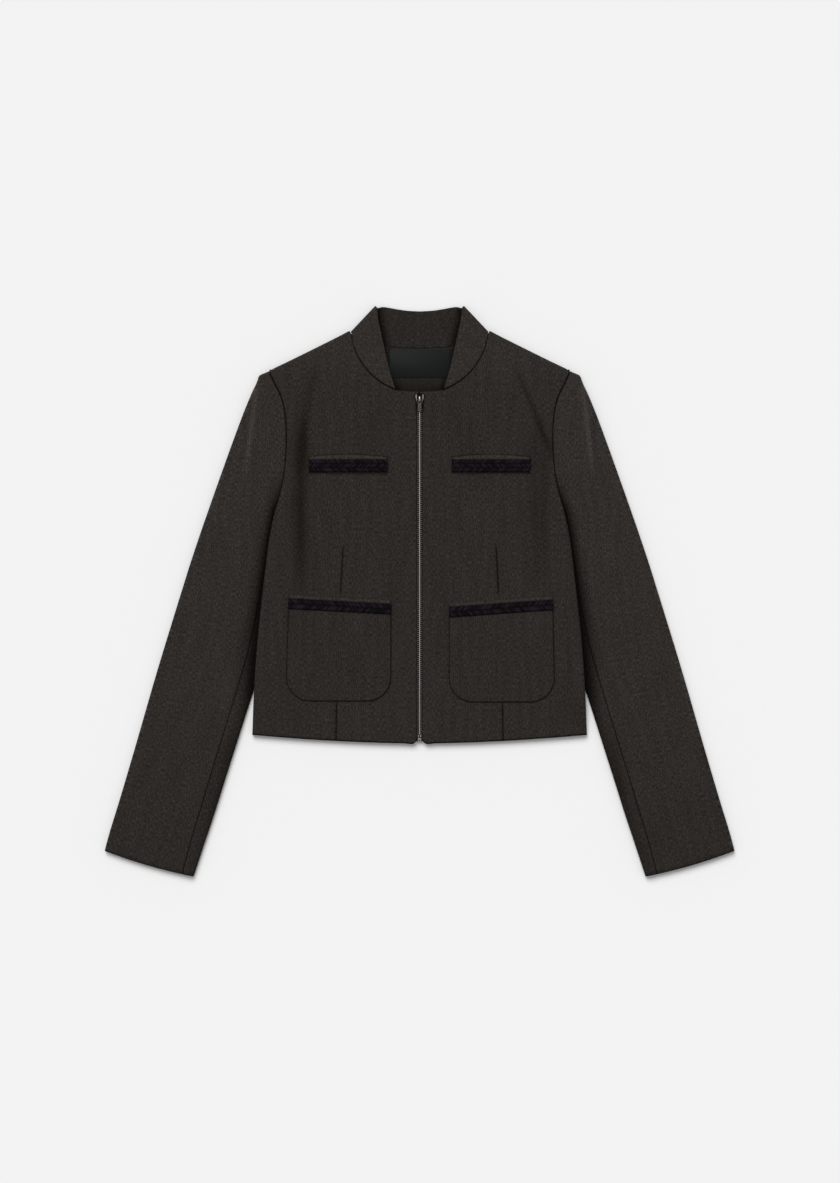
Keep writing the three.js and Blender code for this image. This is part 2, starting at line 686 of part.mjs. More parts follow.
// Facing inside the back of the neck, and the label sewn on it
function backNeckY(x) {
  const seam = BACK_NECK_SEAM.map((p) => ({ x: p.y, y: p.x }));
  return outlineX(seam, Math.abs(x));
}
const facingLow = CLOTH + GAP;
const labelLow = facingLow + FACING.thick + GAP;
const facingTop = (x) => backNeckY(x) - 1.6;
const labelTop = () => LABEL.topY - 1.2;
addCloth(
  "neck_facing",
  ...flatGrids(facingTop, FACING.halfWidth, FACING.bottomY, facingLow, FACING.thick, 14),
  FACING_CLOTH,
);
addCloth(
  "neck_label",
  ...flatGrids(labelTop, LABEL.halfWidth, LABEL.bottomY, labelLow, LABEL.thick, 4),
  SATIN,
);

// A block between two corners
function block(minX, maxX, minY, maxY, low, high) {
  const geometry = new THREE.BoxGeometry(maxX - minX, maxY - minY, high - low);
  geometry.translate((minX + maxX) / 2, (minY + maxY) / 2, (low + high) / 2);
  return geometry;
}

// A zip piece that is even about the middle, or a tape on one side of it
function zipBlock(piece, side) {
  const { bottomY, topY, low, high } = piece;
  if (side === "left") return block(piece.inner, piece.outer, bottomY, topY, low, high);
  if (side === "right") return block(-piece.outer, -piece.inner, bottomY, topY, low, high);
  return block(-piece.half, piece.half, bottomY, topY, low, high);
}
addMesh("zip_chain", zipBlock(CHAIN), METAL);
addMesh("zip_tape_left", zipBlock(TAPE, "left"), TAPE_CLOTH);
addMesh("zip_tape_right", zipBlock(TAPE, "right"), TAPE_CLOTH);
addMesh("zip_box", zipBlock(ZIP_BOX), METAL);

function toSolid(geometry) {
  const bare = geometry.clone();
  bare.deleteAttribute("normal");
  bare.deleteAttribute("uv");
  const merged = mergeVertices(bare, 1e-4);
  return new wasm.Manifold(new wasm.Mesh({
    numProp: 3,
    vertProperties: Float32Array.from(merged.attributes.position.array),
    triVerts: Uint32Array.from(merged.index.array),
  }));
}

function joined(geometries) {
  const solid = geometries.map(toSolid).reduce((whole, piece) => whole.add(piece));
  const mesh = solid.getMesh();
  return geometryFrom(Array.from(mesh.vertProperties), Array.from(mesh.triVerts));
}

// One plate of the slider, wider at its head, with cut corners
function sliderPlate(low) {
  const { headHalf, tailHalf, topY, bottomY } = SLIDER;
  const outline = new THREE.Shape([
    new THREE.Vector2(-headHalf, topY - 1.6),
    new THREE.Vector2(-tailHalf, bottomY),
    new THREE.Vector2(tailHalf, bottomY),
    new THREE.Vector2(headHalf, topY - 1.6),
    new THREE.Vector2(headHalf - 1.6, topY),
    new THREE.Vector2(-headHalf + 1.6, topY),
  ]);
  const geometry = new THREE.ExtrudeGeometry(outline, { depth: SLIDER_PLATE, bevelEnabled: false });
  geometry.translate(0, 0, low);
  return geometry;
}

// The crown: a bridge seen from the side, drawn in Y and Z and given its width along X.
function crownGeometry() {
  const { length, rise, leg, bar, half, y } = CROWN;
  const bridge = new THREE.Shape([
    new THREE.Vector2(-length / 2, -0.3),
    new THREE.Vector2(-length / 2, rise - 0.5),
    new THREE.Vector2(-length / 2 + 0.8, rise),
    new THREE.Vector2(length / 2 - 0.8, rise),
    new THREE.Vector2(length / 2, rise - 0.5),
    new THREE.Vector2(length / 2, -0.3),
    new THREE.Vector2(length / 2 - leg, -0.3),
    new THREE.Vector2(length / 2 - leg, rise - bar),
    new THREE.Vector2(-length / 2 + leg, rise - bar),
    new THREE.Vector2(-length / 2 + leg, -0.3),
  ]);
  const geometry = new THREE.ExtrudeGeometry(bridge, { depth: 2 * half, bevelEnabled: false });
  geometry.rotateX(Math.PI / 2);
  geometry.rotateZ(Math.PI / 2);
  geometry.translate(-half, y, SLIDER.high);
  return geometry;
}

const webTop = SLIDER.topY - 0.6;
addMesh("zip_slider", joined([
  sliderPlate(SLIDER.high - SLIDER_PLATE),
  sliderPlate(SLIDER.low),
  block(
    -SLIDER_WEB.half, SLIDER_WEB.half,
    webTop - SLIDER_WEB.depth, webTop,
    SLIDER.low + 0.2, SLIDER.high - 0.2,
  ),
  crownGeometry(),
]), METAL);

// Pull tab: a flat bar with a window for the crown and a round hole near its end,
// modelled about the pin that it swings on
function pullGeometry() {
  const { half, tail, thick, windowHalf, windowEnd, pin, hole } = PULL;
  const outline = new THREE.Shape();
  outline.moveTo(-half, pin);
  outline.lineTo(-half, -tail + 1.5);
  outline.quadraticCurveTo(-half, -tail, -half + 1.5, -tail);
  outline.lineTo(half - 1.5, -tail);
  outline.quadraticCurveTo(half, -tail, half, -tail + 1.5);
  outline.lineTo(half, pin);
  const opening = new THREE.Path();
  opening.moveTo(-windowHalf, -pin);
  opening.lineTo(windowHalf, -pin);
  opening.lineTo(windowHalf, -windowEnd);
  opening.lineTo(-windowHalf, -windowEnd);
  const eye = new THREE.Path();
  eye.absarc(0, -tail + 3.4, hole, 0, 2 * Math.PI);
  outline.holes.push(opening, eye);
  const options = { depth: thick, bevelEnabled: false, curveSegments: 5 };
  const geometry = new THREE.ExtrudeGeometry(outline, options);
  geometry.translate(0, 0, -thick / 2);
  return geometry;
}

const pull = new THREE.Mesh(pullGeometry(), METAL);
pull.name = "zip_pull";
pull.position.set(0, CROWN.y, SLIDER.high + 0.3 + PULL.thick / 2);
jacket.add(pull);

export default jacket;
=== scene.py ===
# %% [markdown]
# A cropped wool jacket, laid flat on its back and seen from straight above. Each cut
# piece of cloth is a surface worked out with numpy: a grid of points that follows the
# pattern piece's outline, raised by the folds of the cloth, and closed into a thin shell.
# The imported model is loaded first, because every piece has to lie where its solid lies.

import bpy
import numpy as np
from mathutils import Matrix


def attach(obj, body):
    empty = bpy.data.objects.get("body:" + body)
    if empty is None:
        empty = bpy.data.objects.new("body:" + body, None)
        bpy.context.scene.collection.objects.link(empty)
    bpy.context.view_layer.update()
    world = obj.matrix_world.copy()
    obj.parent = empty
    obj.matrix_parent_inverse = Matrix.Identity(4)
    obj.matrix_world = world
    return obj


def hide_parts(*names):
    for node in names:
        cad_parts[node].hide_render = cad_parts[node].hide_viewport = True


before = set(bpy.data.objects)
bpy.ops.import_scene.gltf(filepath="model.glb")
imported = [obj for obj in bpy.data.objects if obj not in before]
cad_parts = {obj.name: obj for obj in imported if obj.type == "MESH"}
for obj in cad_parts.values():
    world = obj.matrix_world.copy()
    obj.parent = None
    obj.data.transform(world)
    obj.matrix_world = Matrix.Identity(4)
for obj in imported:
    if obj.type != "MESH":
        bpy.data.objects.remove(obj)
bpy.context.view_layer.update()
JACKET = "jacket"
print("solids:", len(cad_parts))

# %% [markdown]
# All sizes are millimetres. Two walls of cloth with a little air between them make a
# stack, and a sleeve under the body is pressed to less than that. A seam's edge turns
# down in a quarter circle of half the stack's height, so that two pieces meet half way.

# %% Sizes
CLOTH = 2.2
GAP = 0.02
STACK = 8.0
PRESSED = 4.9
LIFT = PRESSED + 0.5
LIFT_RAMP = 72.0
ROLL = (STACK - GAP) / 2
# rows of the grid in a turned edge, and the width they take where the edge stays flat
TURN_ROWS = 7
FLAT_TURN = 2.7
# hem: height at the side and at the middle, the power of its curve, its corner by the zip
HEM_SIDE_Y, HEM_FRONT_Y, HEM_CURVE, HEM_CORNER = -178.2, -188.9, 1.8, 5.6
BACK_HEM_Y = -183.6
UNDERARM_Y = 104.7
FRONT_EDGE_X = 3.7
SHOULDER_TIP = (186.0, 273.4)
SHOULDER_NECK = (86.6, 323.1)
SLOPE = (SHOULDER_NECK[1] - SHOULDER_TIP[1]) / (SHOULDER_TIP[0] - SHOULDER_NECK[0])
STRETCH = np.hypot(1, SLOPE)
TIP_Y = SHOULDER_TIP[1] - ROLL * STRETCH
CUFF_BOW = 2.6
print(f"a stack of cloth is {STACK} mm high, a turned edge {ROLL:.2f} mm")

# %% [markdown]
# The outlines are the same as those of the solids. A pattern maker draws such a curve
# through a few measured points, so tables hold those points, and the curve is worked out.

# %% Outlines of the pieces
# columns: height, half width
BODY_OUTLINE = np.array([
    (273.4, 187.6), (256.4, 179.7), (242.7, 172.8), (226.5, 168.1), (208.1, 165.9),
    (182.8, 165.4), (164.3, 166.4), (145.9, 168.1), (129.8, 170.9), (113.7, 175.0),
    (104.7, 177.8), (86.1, 182.4), (58.4, 187.4), (23.9, 191.6), (-10.7, 195.6),
    (-60.3, 200.9), (-109.9, 204.6), (-178.2, 207.7),
])
# columns: x, y
NECK_SEAM = np.array([(30, 250), (42, 255.6), (55, 264.4), (69, 279.2), (80.8, 300.4), (85.8, 320.4)])
BACK_NECK_SEAM = np.array([(85.8, 320.4), (74, 312.2), (55, 306.2), (30, 303), (0, 302)])
COLLAR_FRONT_EDGE = np.array([
    (30.6, 252.6), (33.5, 262.0), (39.8, 285.0), (47.4, 320.0), (51.9, 342.0), (52.2, 351.4),
])
COLLAR_BACK_EDGE = np.array([
    (52.2, 351.4), (46.0, 352.8), (39.0, 352.0), (29.0, 350.2), (16.0, 348.3), (0.0, 347.4),
])
COLLAR_FOLD_SEAM = np.array([82.9, 318.9])
COLLAR_FOLD_OUT = np.array([0.726, 0.687])
# columns: height, x of the sleeve's outer edge
SLEEVE_OUTER = np.array([
    (266.9, 197.4), (262.6, 200.7), (257.8, 202.6), (247.7, 207.1), (219.2, 219.0),
    (182.0, 233.1), (144.8, 246.5), (107.6, 259.7), (70.4, 272.6), (33.2, 285.0),
    (-4.0, 296.6), (-41.2, 308.1), (-78.4, 319.5), (-115.6, 330.6), (-152.8, 341.3),
    (-190.0, 352.0), (-227.2, 362.9), (-264.4, 374.0), (-301.6, 385.4), (-321.6, 390.8),
])
# columns: inner edge x, y, height of the outer edge, turn of the under sleeve, its reach
SLEEVE_SECTIONS = np.array([
    (178.0, 91.5, 92.0, 0.5, 4.0), (176.4, 76.0, 78.0, 1.0, 8.0),
    (175.2, 52.0, 57.0, 1.0, 13.0), (176.2, 18.0, 27.0, 1.0, 17.5),
    (180.2, -18.0, -6.0, 1.0, 19.5), (186.9, -54.0, -39.0, 1.0, 20.0),
    (196.0, -90.0, -72.0, 1.0, 20.0), (207.0, -126.0, -104.0, 1.0, 19.5),
    (218.4, -162.0, -137.0, 1.0, 19.0), (230.2, -199.0, -170.0, 1.0, 18.6),
    (242.6, -238.0, -206.0, 1.0, 18.2), (255.2, -278.0, -244.0, 1.0, 17.6),
    (268.2, -317.0, -284.0, 1.0, 16.4), (280.4, -354.0, -322.0, 1.0, 14.0),
])
print(f"half the hem: {BODY_OUTLINE[-1, 1]} mm, sections of a sleeve: {len(SLEEVE_SECTIONS)}")

# %% [markdown]
# Every outline is read through one cubic curve. It passes through all its points, takes
# its slope at each from the neighbours, and works on whole arrays at once.

# %% Curves through measured points
def mix(a, b, t):
    """The value a share t of the way from a to b."""
    return a + (b - a) * t


def ease(value, start, end):
    """A soft step from 0 to 1 as the value passes from start to end: 3t^2 - 2t^3."""
    t = np.clip((value - start) / (end - start), 0, 1)
    return t * t * (3 - 2 * t)


def read_table(keys, values, query):
    """A cubic curve through the points (key, value), its slopes taken from their neighbours."""
    order = np.argsort(keys)
    k, v = np.asarray(keys, float)[order], np.asarray(values, float)[order]
    slope = np.gradient(v, k)
    query = np.asarray(query, float)
    i = np.clip(np.searchsorted(k, query) - 1, 0, len(k) - 2)
    span = k[i + 1] - k[i]
    t = np.clip((query - k[i]) / span, 0, 1)
    return (
        (2 * t**3 - 3 * t**2 + 1) * v[i]
        + (t**3 - 2 * t**2 + t) * span * slope[i]
        + (3 * t**2 - 2 * t**3) * v[i + 1]
        + (t**3 - t**2) * span * slope[i + 1]
    )


def smooth_path(points, count):
    """count + 1 points, evenly spaced along a cubic curve through the given ones."""
    points = np.asarray(points, float)
    run = np.concatenate([[0], np.cumsum(np.hypot(*np.diff(points, axis=0).T))])
    fine = np.linspace(0, run[-1], 400)
    x, y = (read_table(run, points[:, k], fine) for k in range(2))
    length = np.concatenate([[0], np.cumsum(np.hypot(np.diff(x), np.diff(y)))])
    even = np.linspace(0, length[-1], count + 1)
    return np.stack([np.interp(even, length, x), np.interp(even, length, y)], -1)


def body_half_width(y):
    """Half the body's width at a height, armhole or side."""
    return read_table(BODY_OUTLINE[:, 0], BODY_OUTLINE[:, 1], y)


print(f"half width at the underarm: {float(body_half_width(UNDERARM_Y)):.1f} mm")

# %% [markdown]
# Cloth that lies flat is never quite flat: long soft folds run down from the shoulders.
# A cloth simulation could find them, but not these ones, so they are placed one by one.
# Each has its own length and depth, because even ones look like corrugated iron.

# %% Where the folds are
# columns: x, top y, bottom y, width, height, lean; the same on both sides
PAIRED_FOLDS = [
    (143.0, 246.0, -24.0, 14.0, -0.8, 0.02),
    (118.0, 262.0, 176.0, 16.0, 0.8, 0.05),
]
# the same columns, with x below 0 on the wearer's right
FRONT_CREASES = [
    (-127.0, 300.0, 116.0, 6.0, -1.1, 0.15),
    (-147.0, 262.0, -60.0, 7.0, -1.2, 0.0),
    (-126.0, 200.0, 40.0, 10.0, 0.5, 0.02),
    (-62.0, 240.0, 150.0, 14.0, -0.35, 0.06),
    (-172.0, 60.0, -150.0, 9.0, 0.5, 0.06),
    (-30.0, 80.0, -90.0, 12.0, -0.3, 0.03),
    (116.0, 286.0, 140.0, 4.0, -1.5, 0.41),
    (156.0, 230.0, -40.0, 6.0, -0.5, 0.0),
    (166.0, 90.0, -120.0, 10.0, 0.45, 0.05),
    (58.0, 236.0, 120.0, 15.0, -0.35, 0.04),
    (26.0, 60.0, -120.0, 12.0, -0.25, 0.02),
    (182.0, -40.0, -176.0, 8.0, -0.4, 0.03),
]
SLEEVE_RIDGE = (199.5, 274.0, 130.0, 3.0, 0.8, 0.122)
SLEEVE_FOLDS = [(199.5, 268.0, 110.0, 12.0, 1.3, 0.122), SLEEVE_RIDGE]
print(f"folds: {len(PAIRED_FOLDS)} on both fronts, {len(FRONT_CREASES)} more on one of them")

# %% [markdown]
# The height of each layer is a function of the place in plan, so that every piece that
# lies on another can ask how high that one is. The body is lifted where the sleeve is
# tucked under its side. Each fold is a bell across its width that fades out at both ends.

# %% How high the cloth lies
def folds(table, x, y):
    """Sum of long folds: height * exp(-(across / width)^2), faded in and out along each."""
    total = np.zeros(np.broadcast(x, y).shape)
    for middle, top, bottom, width, height, lean in table:
        side = np.sign(middle)
        across = (x * side - abs(middle) - lean * (top - y)) / width
        along = (top - y) / (top - bottom)
        total += height * np.exp(-(across**2)) * ease(along, 0, 0.3) * (1 - ease(along, 0.6, 1))
    return total


def tuck_weight(y):
    """1 beside the tucked sleeve, 0 away from it."""
    return ease(y, -174, -132) * (1 - ease(y, 114, 156))


def back_bottom(x, y):
    """Underside of the back: raised near its side by the sleeve under it."""
    inner_edge = read_table(SLEEVE_SECTIONS[:, 1], SLEEVE_SECTIONS[:, 0], np.clip(y, -126, 76))
    reach = np.minimum(inner_edge, body_half_width(y)) - 4
    return LIFT * tuck_weight(y) * ease(np.abs(x), reach - LIFT_RAMP, reach)


def front_top(x, y):
    """Top of the fronts: one stack of cloth above the underside, plus the folds."""
    return STACK + back_bottom(x, y) + folds(PAIRED_FOLDS, np.abs(x), y) + folds(FRONT_CREASES, x, y)


def sleeve_top(x, y):
    """Top of the sleeve: pressed down where the body lies on it."""
    edge = body_half_width(np.clip(y, HEM_SIDE_Y, SHOULDER_TIP[1]))
    pressed = tuck_weight(y) * (1 - ease(np.abs(x), edge + 3, edge + 34))
    return mix(STACK + folds(SLEEVE_FOLDS, np.abs(x), y), PRESSED, pressed)


print(f"top of the fronts at the chest: {float(front_top(60.0, 120.0)):.1f} mm")

# %% [markdown]
# The hem falls a little towards the middle, where each front ends in a small round corner
# that droops. An edge of thick cloth isn't sharp: its face rounds down to it.

# %% Hem and rounded edges
def hem_y(x):
    """Height of the hem, which falls towards the centre front."""
    share = np.abs(x) / BODY_OUTLINE[-1, 1]
    return mix(HEM_FRONT_Y, HEM_SIDE_Y, share**HEM_CURVE)


def back_hem_y(x):
    """The back's hem, which is a little shorter in the middle than the fronts'."""
    return np.maximum(hem_y(x), BACK_HEM_Y)


def front_hem_y(x):
    """The same, with a small round corner beside the zip."""
    inside = np.maximum(0, HEM_CORNER - (np.abs(x) - FRONT_EDGE_X))
    dip = 1.0 * np.exp(-(((np.abs(x) - 11) / 5) ** 2))
    return hem_y(x) - dip + HEM_CORNER - np.sqrt(HEM_CORNER**2 - np.minimum(inside, HEM_CORNER) ** 2)


def lip(distance, reach=2.2, depth=1.1):
    """A rounded edge: how far the surface falls at a distance from the edge, a quarter ellipse."""
    t = np.clip(1 - distance / reach, 0, 1)
    return depth * (1 - np.sqrt(1 - t * t))


print(f"the hem falls {float(hem_y(BODY_OUTLINE[-1, 1]) - hem_y(0.0)):.1f} mm to the middle")

# %% [markdown]
# Every cloth piece goes through one function. It takes the outer and the inner skin as two grids of points,
# joins their rims, and makes one closed shell. It also stores a UV map in metres, so that the weave keeps
# its size and follows the grain of the piece, and a seam value, mostly from 0 to 1, which the cloth's
# material darkens along edges and darts. The same value also carries painted shade, and below 0 a painted
# highlight.

# %% Making a closed shell
def grid_faces(rows, columns):
    """Quads of a closed shell: the outer skin, the inner skin turned round, and the rim."""
    index = np.arange(rows * columns).reshape(rows, columns)
    a, b, c, d = index[:-1, :-1], index[:-1, 1:], index[1:, 1:], index[1:, :-1]
    outer = np.stack([a, b, c, d], -1).reshape(-1, 4)
    inner = np.stack([a, d, c, b], -1).reshape(-1, 4) + rows * columns
    ring = np.concatenate([index[0, :-1], index[:-1, -1], index[-1, :0:-1], index[:0:-1, 0]])
    after = np.roll(ring, -1)
    rim = np.stack([after, ring, ring + rows * columns, after + rows * columns], -1)
    return np.concatenate([outer, inner, rim])


def signed_volume(points, quads):
    """Six times the volume inside the faces: below 0 when they point inwards."""
    p = points[quads]
    first = np.einsum("ij,ij->i", p[:, 0], np.cross(p[:, 1], p[:, 2]))
    second = np.einsum("ij,ij->i", p[:, 0], np.cross(p[:, 2], p[:, 3]))
    return (first + second).sum()


def new_piece(name, points, faces, material, nodes, body=JACKET):
    """A piece from points in millimetres: smooth, in its place, riding on its body."""
    mesh = bpy.data.meshes.new(name)
    mesh.from_pydata((points / 1000).tolist(), [], [list(face) for face in faces])
    mesh.polygons.foreach_set("use_smooth", np.ones(len(mesh.polygons), bool))
    mesh.materials.append(material)
    piece = bpy.data.objects.new(name, mesh)
    bpy.context.collection.objects.link(piece)
    if nodes:
        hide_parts(*nodes)
    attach(piece, body)
    return piece


def add_cloth(name, outer, inner, uv, seam, material, slot, nodes):
    """A closed shell from two grids (rows, columns, 3), with its UV map and seam value."""
    rows, columns = outer.shape[:2]
    points = np.concatenate([outer.reshape(-1, 3), inner.reshape(-1, 3)])
    quads = grid_faces(rows, columns)
    if signed_volume(points, quads) < 0:
        quads = quads[:, ::-1]
    piece = new_piece(name, points, quads, material, nodes)
    mesh = piece.data
    both = np.concatenate([uv.reshape(-1, 2)] * 2) / 1000
    mesh.uv_layers.new(name="cloth").data.foreach_set("uv", both[quads.ravel()].ravel())
    values = np.concatenate([seam.ravel()] * 2).astype(np.float32)
    mesh.attributes.new("seam", "FLOAT", "POINT").data.foreach_set("value", values)
    print(f"{name}: {rows} x {columns} points a side")
    return piece


def turned(step, roll, radius, count=TURN_ROWS):
    """Rows that turn an edge down: how far out, and how far down, a quarter circle when roll is 1."""
    angle = step / count * np.pi / 2
    out = mix(FLAT_TURN * step / count, radius * np.sin(angle), roll)
    return out, roll * radius * (1 - np.cos(angle))


print("a shell with 2 x 2 points a side has", len(grid_faces(2, 2)), "faces")

# %% [markdown]
# A material is a small network of nodes. One helper adds a node and links it, and another
# turns a colour as a picture program gives it into the linear light that Cycles works in.

# %% Nodes and colours
def linear(hex_colour):
    """An sRGB hex colour as linear red, green, blue and alpha."""
    parts = [int(hex_colour[i:i + 2], 16) / 255 for i in (1, 3, 5)]
    return [c / 12.92 if c <= 0.04045 else ((c + 0.055) / 1.055) ** 2.4 for c in parts] + [1.0]


def add_node(tree, kind, settings=(), stops=(), **inputs):
    """Adds a node with its settings, and links it.

    settings are its properties, stops the (place, sRGB hex) colours of a colour ramp, and
    inputs its values or the sockets that feed them, by name or by number, as in i0.
    """
    made = tree.nodes.new(kind)
    for key, value in dict(settings).items():
        setattr(made, key, value)
    if stops:
        elements = made.color_ramp.elements
        while len(elements) < len(stops):
            elements.new(0.5)
        for element, (place, colour) in zip(elements, stops):
            element.position = place
            element.color = linear(colour)
    for key, value in inputs.items():
        numbered = key[0] == "i" and key[1:].isdigit()
        socket = made.inputs[int(key[1:]) if numbered else key.replace("_", " ")]
        if isinstance(value, bpy.types.NodeSocket):
            tree.links.new(value, socket)
        else:
            socket.default_value = value
    return made


def new_material(name):
    """A material with an empty tree, its shader and its output."""
    material = bpy.data.materials.new(name)
    material.use_nodes = True
    tree = material.node_tree
    shader = tree.nodes["Principled BSDF"]
    return material, tree, shader


print("mid grey #808080 in linear light:", round(linear("#808080")[0], 3))

# %% [markdown]
# The cloth is a wool flannel, dyed in the fibre: dark brown and paler hairs are mixed
# before spinning, so it looks grey brown with a fine uneven grain along the warp. Its
# nap scatters light, so it is rough with a little sheen. The real threads are about
# 0.5 mm apart, too fine to show from this far, so the mottle is drawn three times as
# coarse, and the finest grain is left to the bump. A picture of cloth could be used
# instead, but noise on the piece's own UV map has no seams and no repeat.

# %% Wool flannel
def flannel(name, dark, middle, pale, mottle=1.25):
    """Wool flannel: mottle is the width of a fleck in millimetres, and flecks are 3 times as long."""
    material, tree, shader = new_material(name)
    uv = add_node(tree, "ShaderNodeUVMap", {"uv_map": "cloth"}).outputs["UV"]
    flecks = add_node(
        tree, "ShaderNodeMapping", Vector=uv, Scale=(1000 / mottle, 1000 / (3 * mottle), 1)
    ).outputs["Vector"]
    grain = add_node(
        tree, "ShaderNodeTexNoise", Vector=flecks, Scale=1.0, Detail=3.0, Roughness=0.6
    ).outputs["Fac"]
    warp = add_node(tree, "ShaderNodeMapping", Vector=uv, Scale=(150.0, 16.0, 1)).outputs["Vector"]
    streaks = add_node(tree, "ShaderNodeTexNoise", Vector=warp, Scale=1.0, Detail=3.0).outputs["Fac"]
    both = add_node(
        tree, "ShaderNodeMath", {"operation": "MULTIPLY_ADD"}, i0=streaks, i1=0.18, i2=grain
    ).outputs[0]
    hairs = [(0.42, dark), (0.59, middle), (0.77, pale)]
    colour = add_node(tree, "ShaderNodeValToRGB", stops=hairs, Fac=both).outputs["Color"]
    # The seam value darkens the colour towards #6b6560 along seams and darts, and it also carries painted
    # shade; below 0, with the factor unclamped, it is a painted highlight.
    seam = add_node(tree, "ShaderNodeAttribute", {"attribute_name": "seam"}).outputs["Fac"]
    seams_and_painted_light = add_node(
        tree, "ShaderNodeMix", {"data_type": "RGBA", "blend_type": "MULTIPLY", "clamp_factor": False},
        i0=seam, i6=colour, i7=linear("#6b6560"),
    ).outputs[2]
    tree.links.new(seams_and_painted_light, shader.inputs["Base Color"])
    nap = add_node(tree, "ShaderNodeTexNoise", Vector=flecks, Scale=2.2, Detail=2.0).outputs["Fac"]
    bump = add_node(tree, "ShaderNodeBump", Strength=0.35, Distance=0.0006, Height=nap).outputs["Normal"]
    tree.links.new(bump, shader.inputs["Normal"])
    shader.inputs["Roughness"].default_value = 0.92
    shader.inputs["Specular IOR Level"].default_value = 0.03
    shader.inputs["Sheen Weight"].default_value = 0.04
    shader.inputs["Sheen Roughness"].default_value = 0.5
    shader.inputs["Sheen Tint"].default_value = linear("#a39a92")
    return material


wool = flannel("wool_flannel", "#211d1c", "#2d2926", "#3e3935")
print(wool.name, "has", len(wool.node_tree.nodes), "nodes")

# %% [markdown]
# The fronts and the back are cut from the same outline. A grid runs from hem to shoulder
# and from the middle to the side, and its last rows and columns turn the shoulder and the
# side seam down in a quarter circle, so that front and back meet half way. A dart is a
# fold sewn into the cloth from inside, which leaves a fine valley. Bump could draw it,
# but a real valley also shows in the mesh.

# %% Half a body panel
DART_SHARE = 0.5
# columns: top, bottom of each stretch of dart that shows
DARTS = [(60.0, -6.0), (-134.0, -200.0)]
# how far the front edges draw together above the slider
DRAWN_IN = 3.4


def side_roll(y):
    """How far the side turns under at a height: 1 along the side seam, 0 along the armhole."""
    return 1 - ease(y, UNDERARM_Y - 26, UNDERARM_Y)


def body_edge_x(y):
    """Where the flat part of the panel ends and its turned edge begins."""
    roll = side_roll(y)
    return body_half_width(y) - GAP / 2 - mix(FLAT_TURN, ROLL, roll)


def body_panel(columns, hem_at, upper, rows):
    """Half a body panel as grids of its outer and inner skin, its flat UV and its seam value.

    A point's x is a share of the half width at its row's height, and its y a share of the way from the hem
    to the neck or shoulder above it. Then turned edges, the lip of each edge and the darts are added.
    """
    top_x, top_y, top_roll = columns
    last = len(top_x) - 1
    climb = np.arange(rows.size + TURN_ROWS)
    row = np.minimum(climb, rows.size - 1)
    across = np.arange(last + 1 + TURN_ROWS)
    column = np.minimum(across, last)
    side_y = rows[row][:, None]
    v = (side_y - HEM_SIDE_Y) / (TIP_Y - HEM_SIDE_Y)
    start = top_x[0]
    share = ((top_x[column] - start) / (body_edge_x(TIP_Y) - start))[None, :]
    roll = top_roll[column][None, :]
    stretch = mix(1, STRETCH, roll)
    x = mix(start, body_edge_x(side_y), share)
    hem_x = mix(start, body_edge_x(HEM_SIDE_Y), share)
    y = mix(hem_at(hem_x), top_y[column][None, :] - mix(FLAT_TURN, ROLL * stretch, roll), v)
    x = x + (body_edge_x(y) - body_edge_x(side_y)) * share**12
    from_edge = x - start
    if upper:
        x = x - DRAWN_IN * ease(y, 243.8, 246.2) * (1 - ease(from_edge, 0, 12))
    step_side = (across - column)[None, :]
    step_top = (climb - row)[:, None]
    edge = side_roll(side_y)
    to_side = body_edge_x(side_y) - x + FLAT_TURN * (1 - step_side / TURN_ROWS)
    to_neck = (top_y[column][None, :] - y) * 0.8 - FLAT_TURN * step_top / TURN_ROWS * 0.8
    armhole_lip = lip(to_side) * (1 - edge)
    neck_lip = lip(to_neck) * (1 - roll)
    hem_lip = lip(y - hem_at(hem_x), 1.6, 0.9)
    seam = (1 - edge) * np.exp(-((to_side / 0.9) ** 2)) + (1 - roll) * np.exp(-((to_neck / 0.9) ** 2))
    # painted shade along the hem's edge, where the cloth turns down
    seam = seam + np.exp(-(((y - hem_at(hem_x)) / 1.9) ** 2))
    relief = armhole_lip + neck_lip + hem_lip
    if upper:
        relief = relief + lip(from_edge, 1.6, 0.9)
        dart_x = mix(start, body_edge_x(side_y), DART_SHARE)
        groove = np.exp(-np.abs(x - dart_x) / 0.85)
        for top, bottom in DARTS:
            groove_here = groove * ease(y, bottom - 1, bottom + 6) * (1 - ease(y, top - 9, top))
            relief = relief + 0.7 * groove_here
            seam = seam + 1.1 * groove_here
    seam = np.clip(seam, 0, 1)
    skins = []
    for depth in (0.0, CLOTH):
        radius = ROLL - depth
        side_out, side_drop = turned(step_side, edge, radius)
        top_out, _ = turned(step_top, roll, radius * stretch)
        _, top_drop = turned(step_top, roll, radius)
        down = side_drop + top_drop + (relief if depth == 0 else 0)
        px, py = x + side_out, y + top_out
        skins.append((px, py, down, depth))
    uv = np.stack([skins[0][0] + 0 * y, skins[0][1]], -1)
    return skins, x, y, seam, uv, upper


print(f"the flat part of a panel ends {float(body_edge_x(0.0)):.1f} mm out at y = 0")
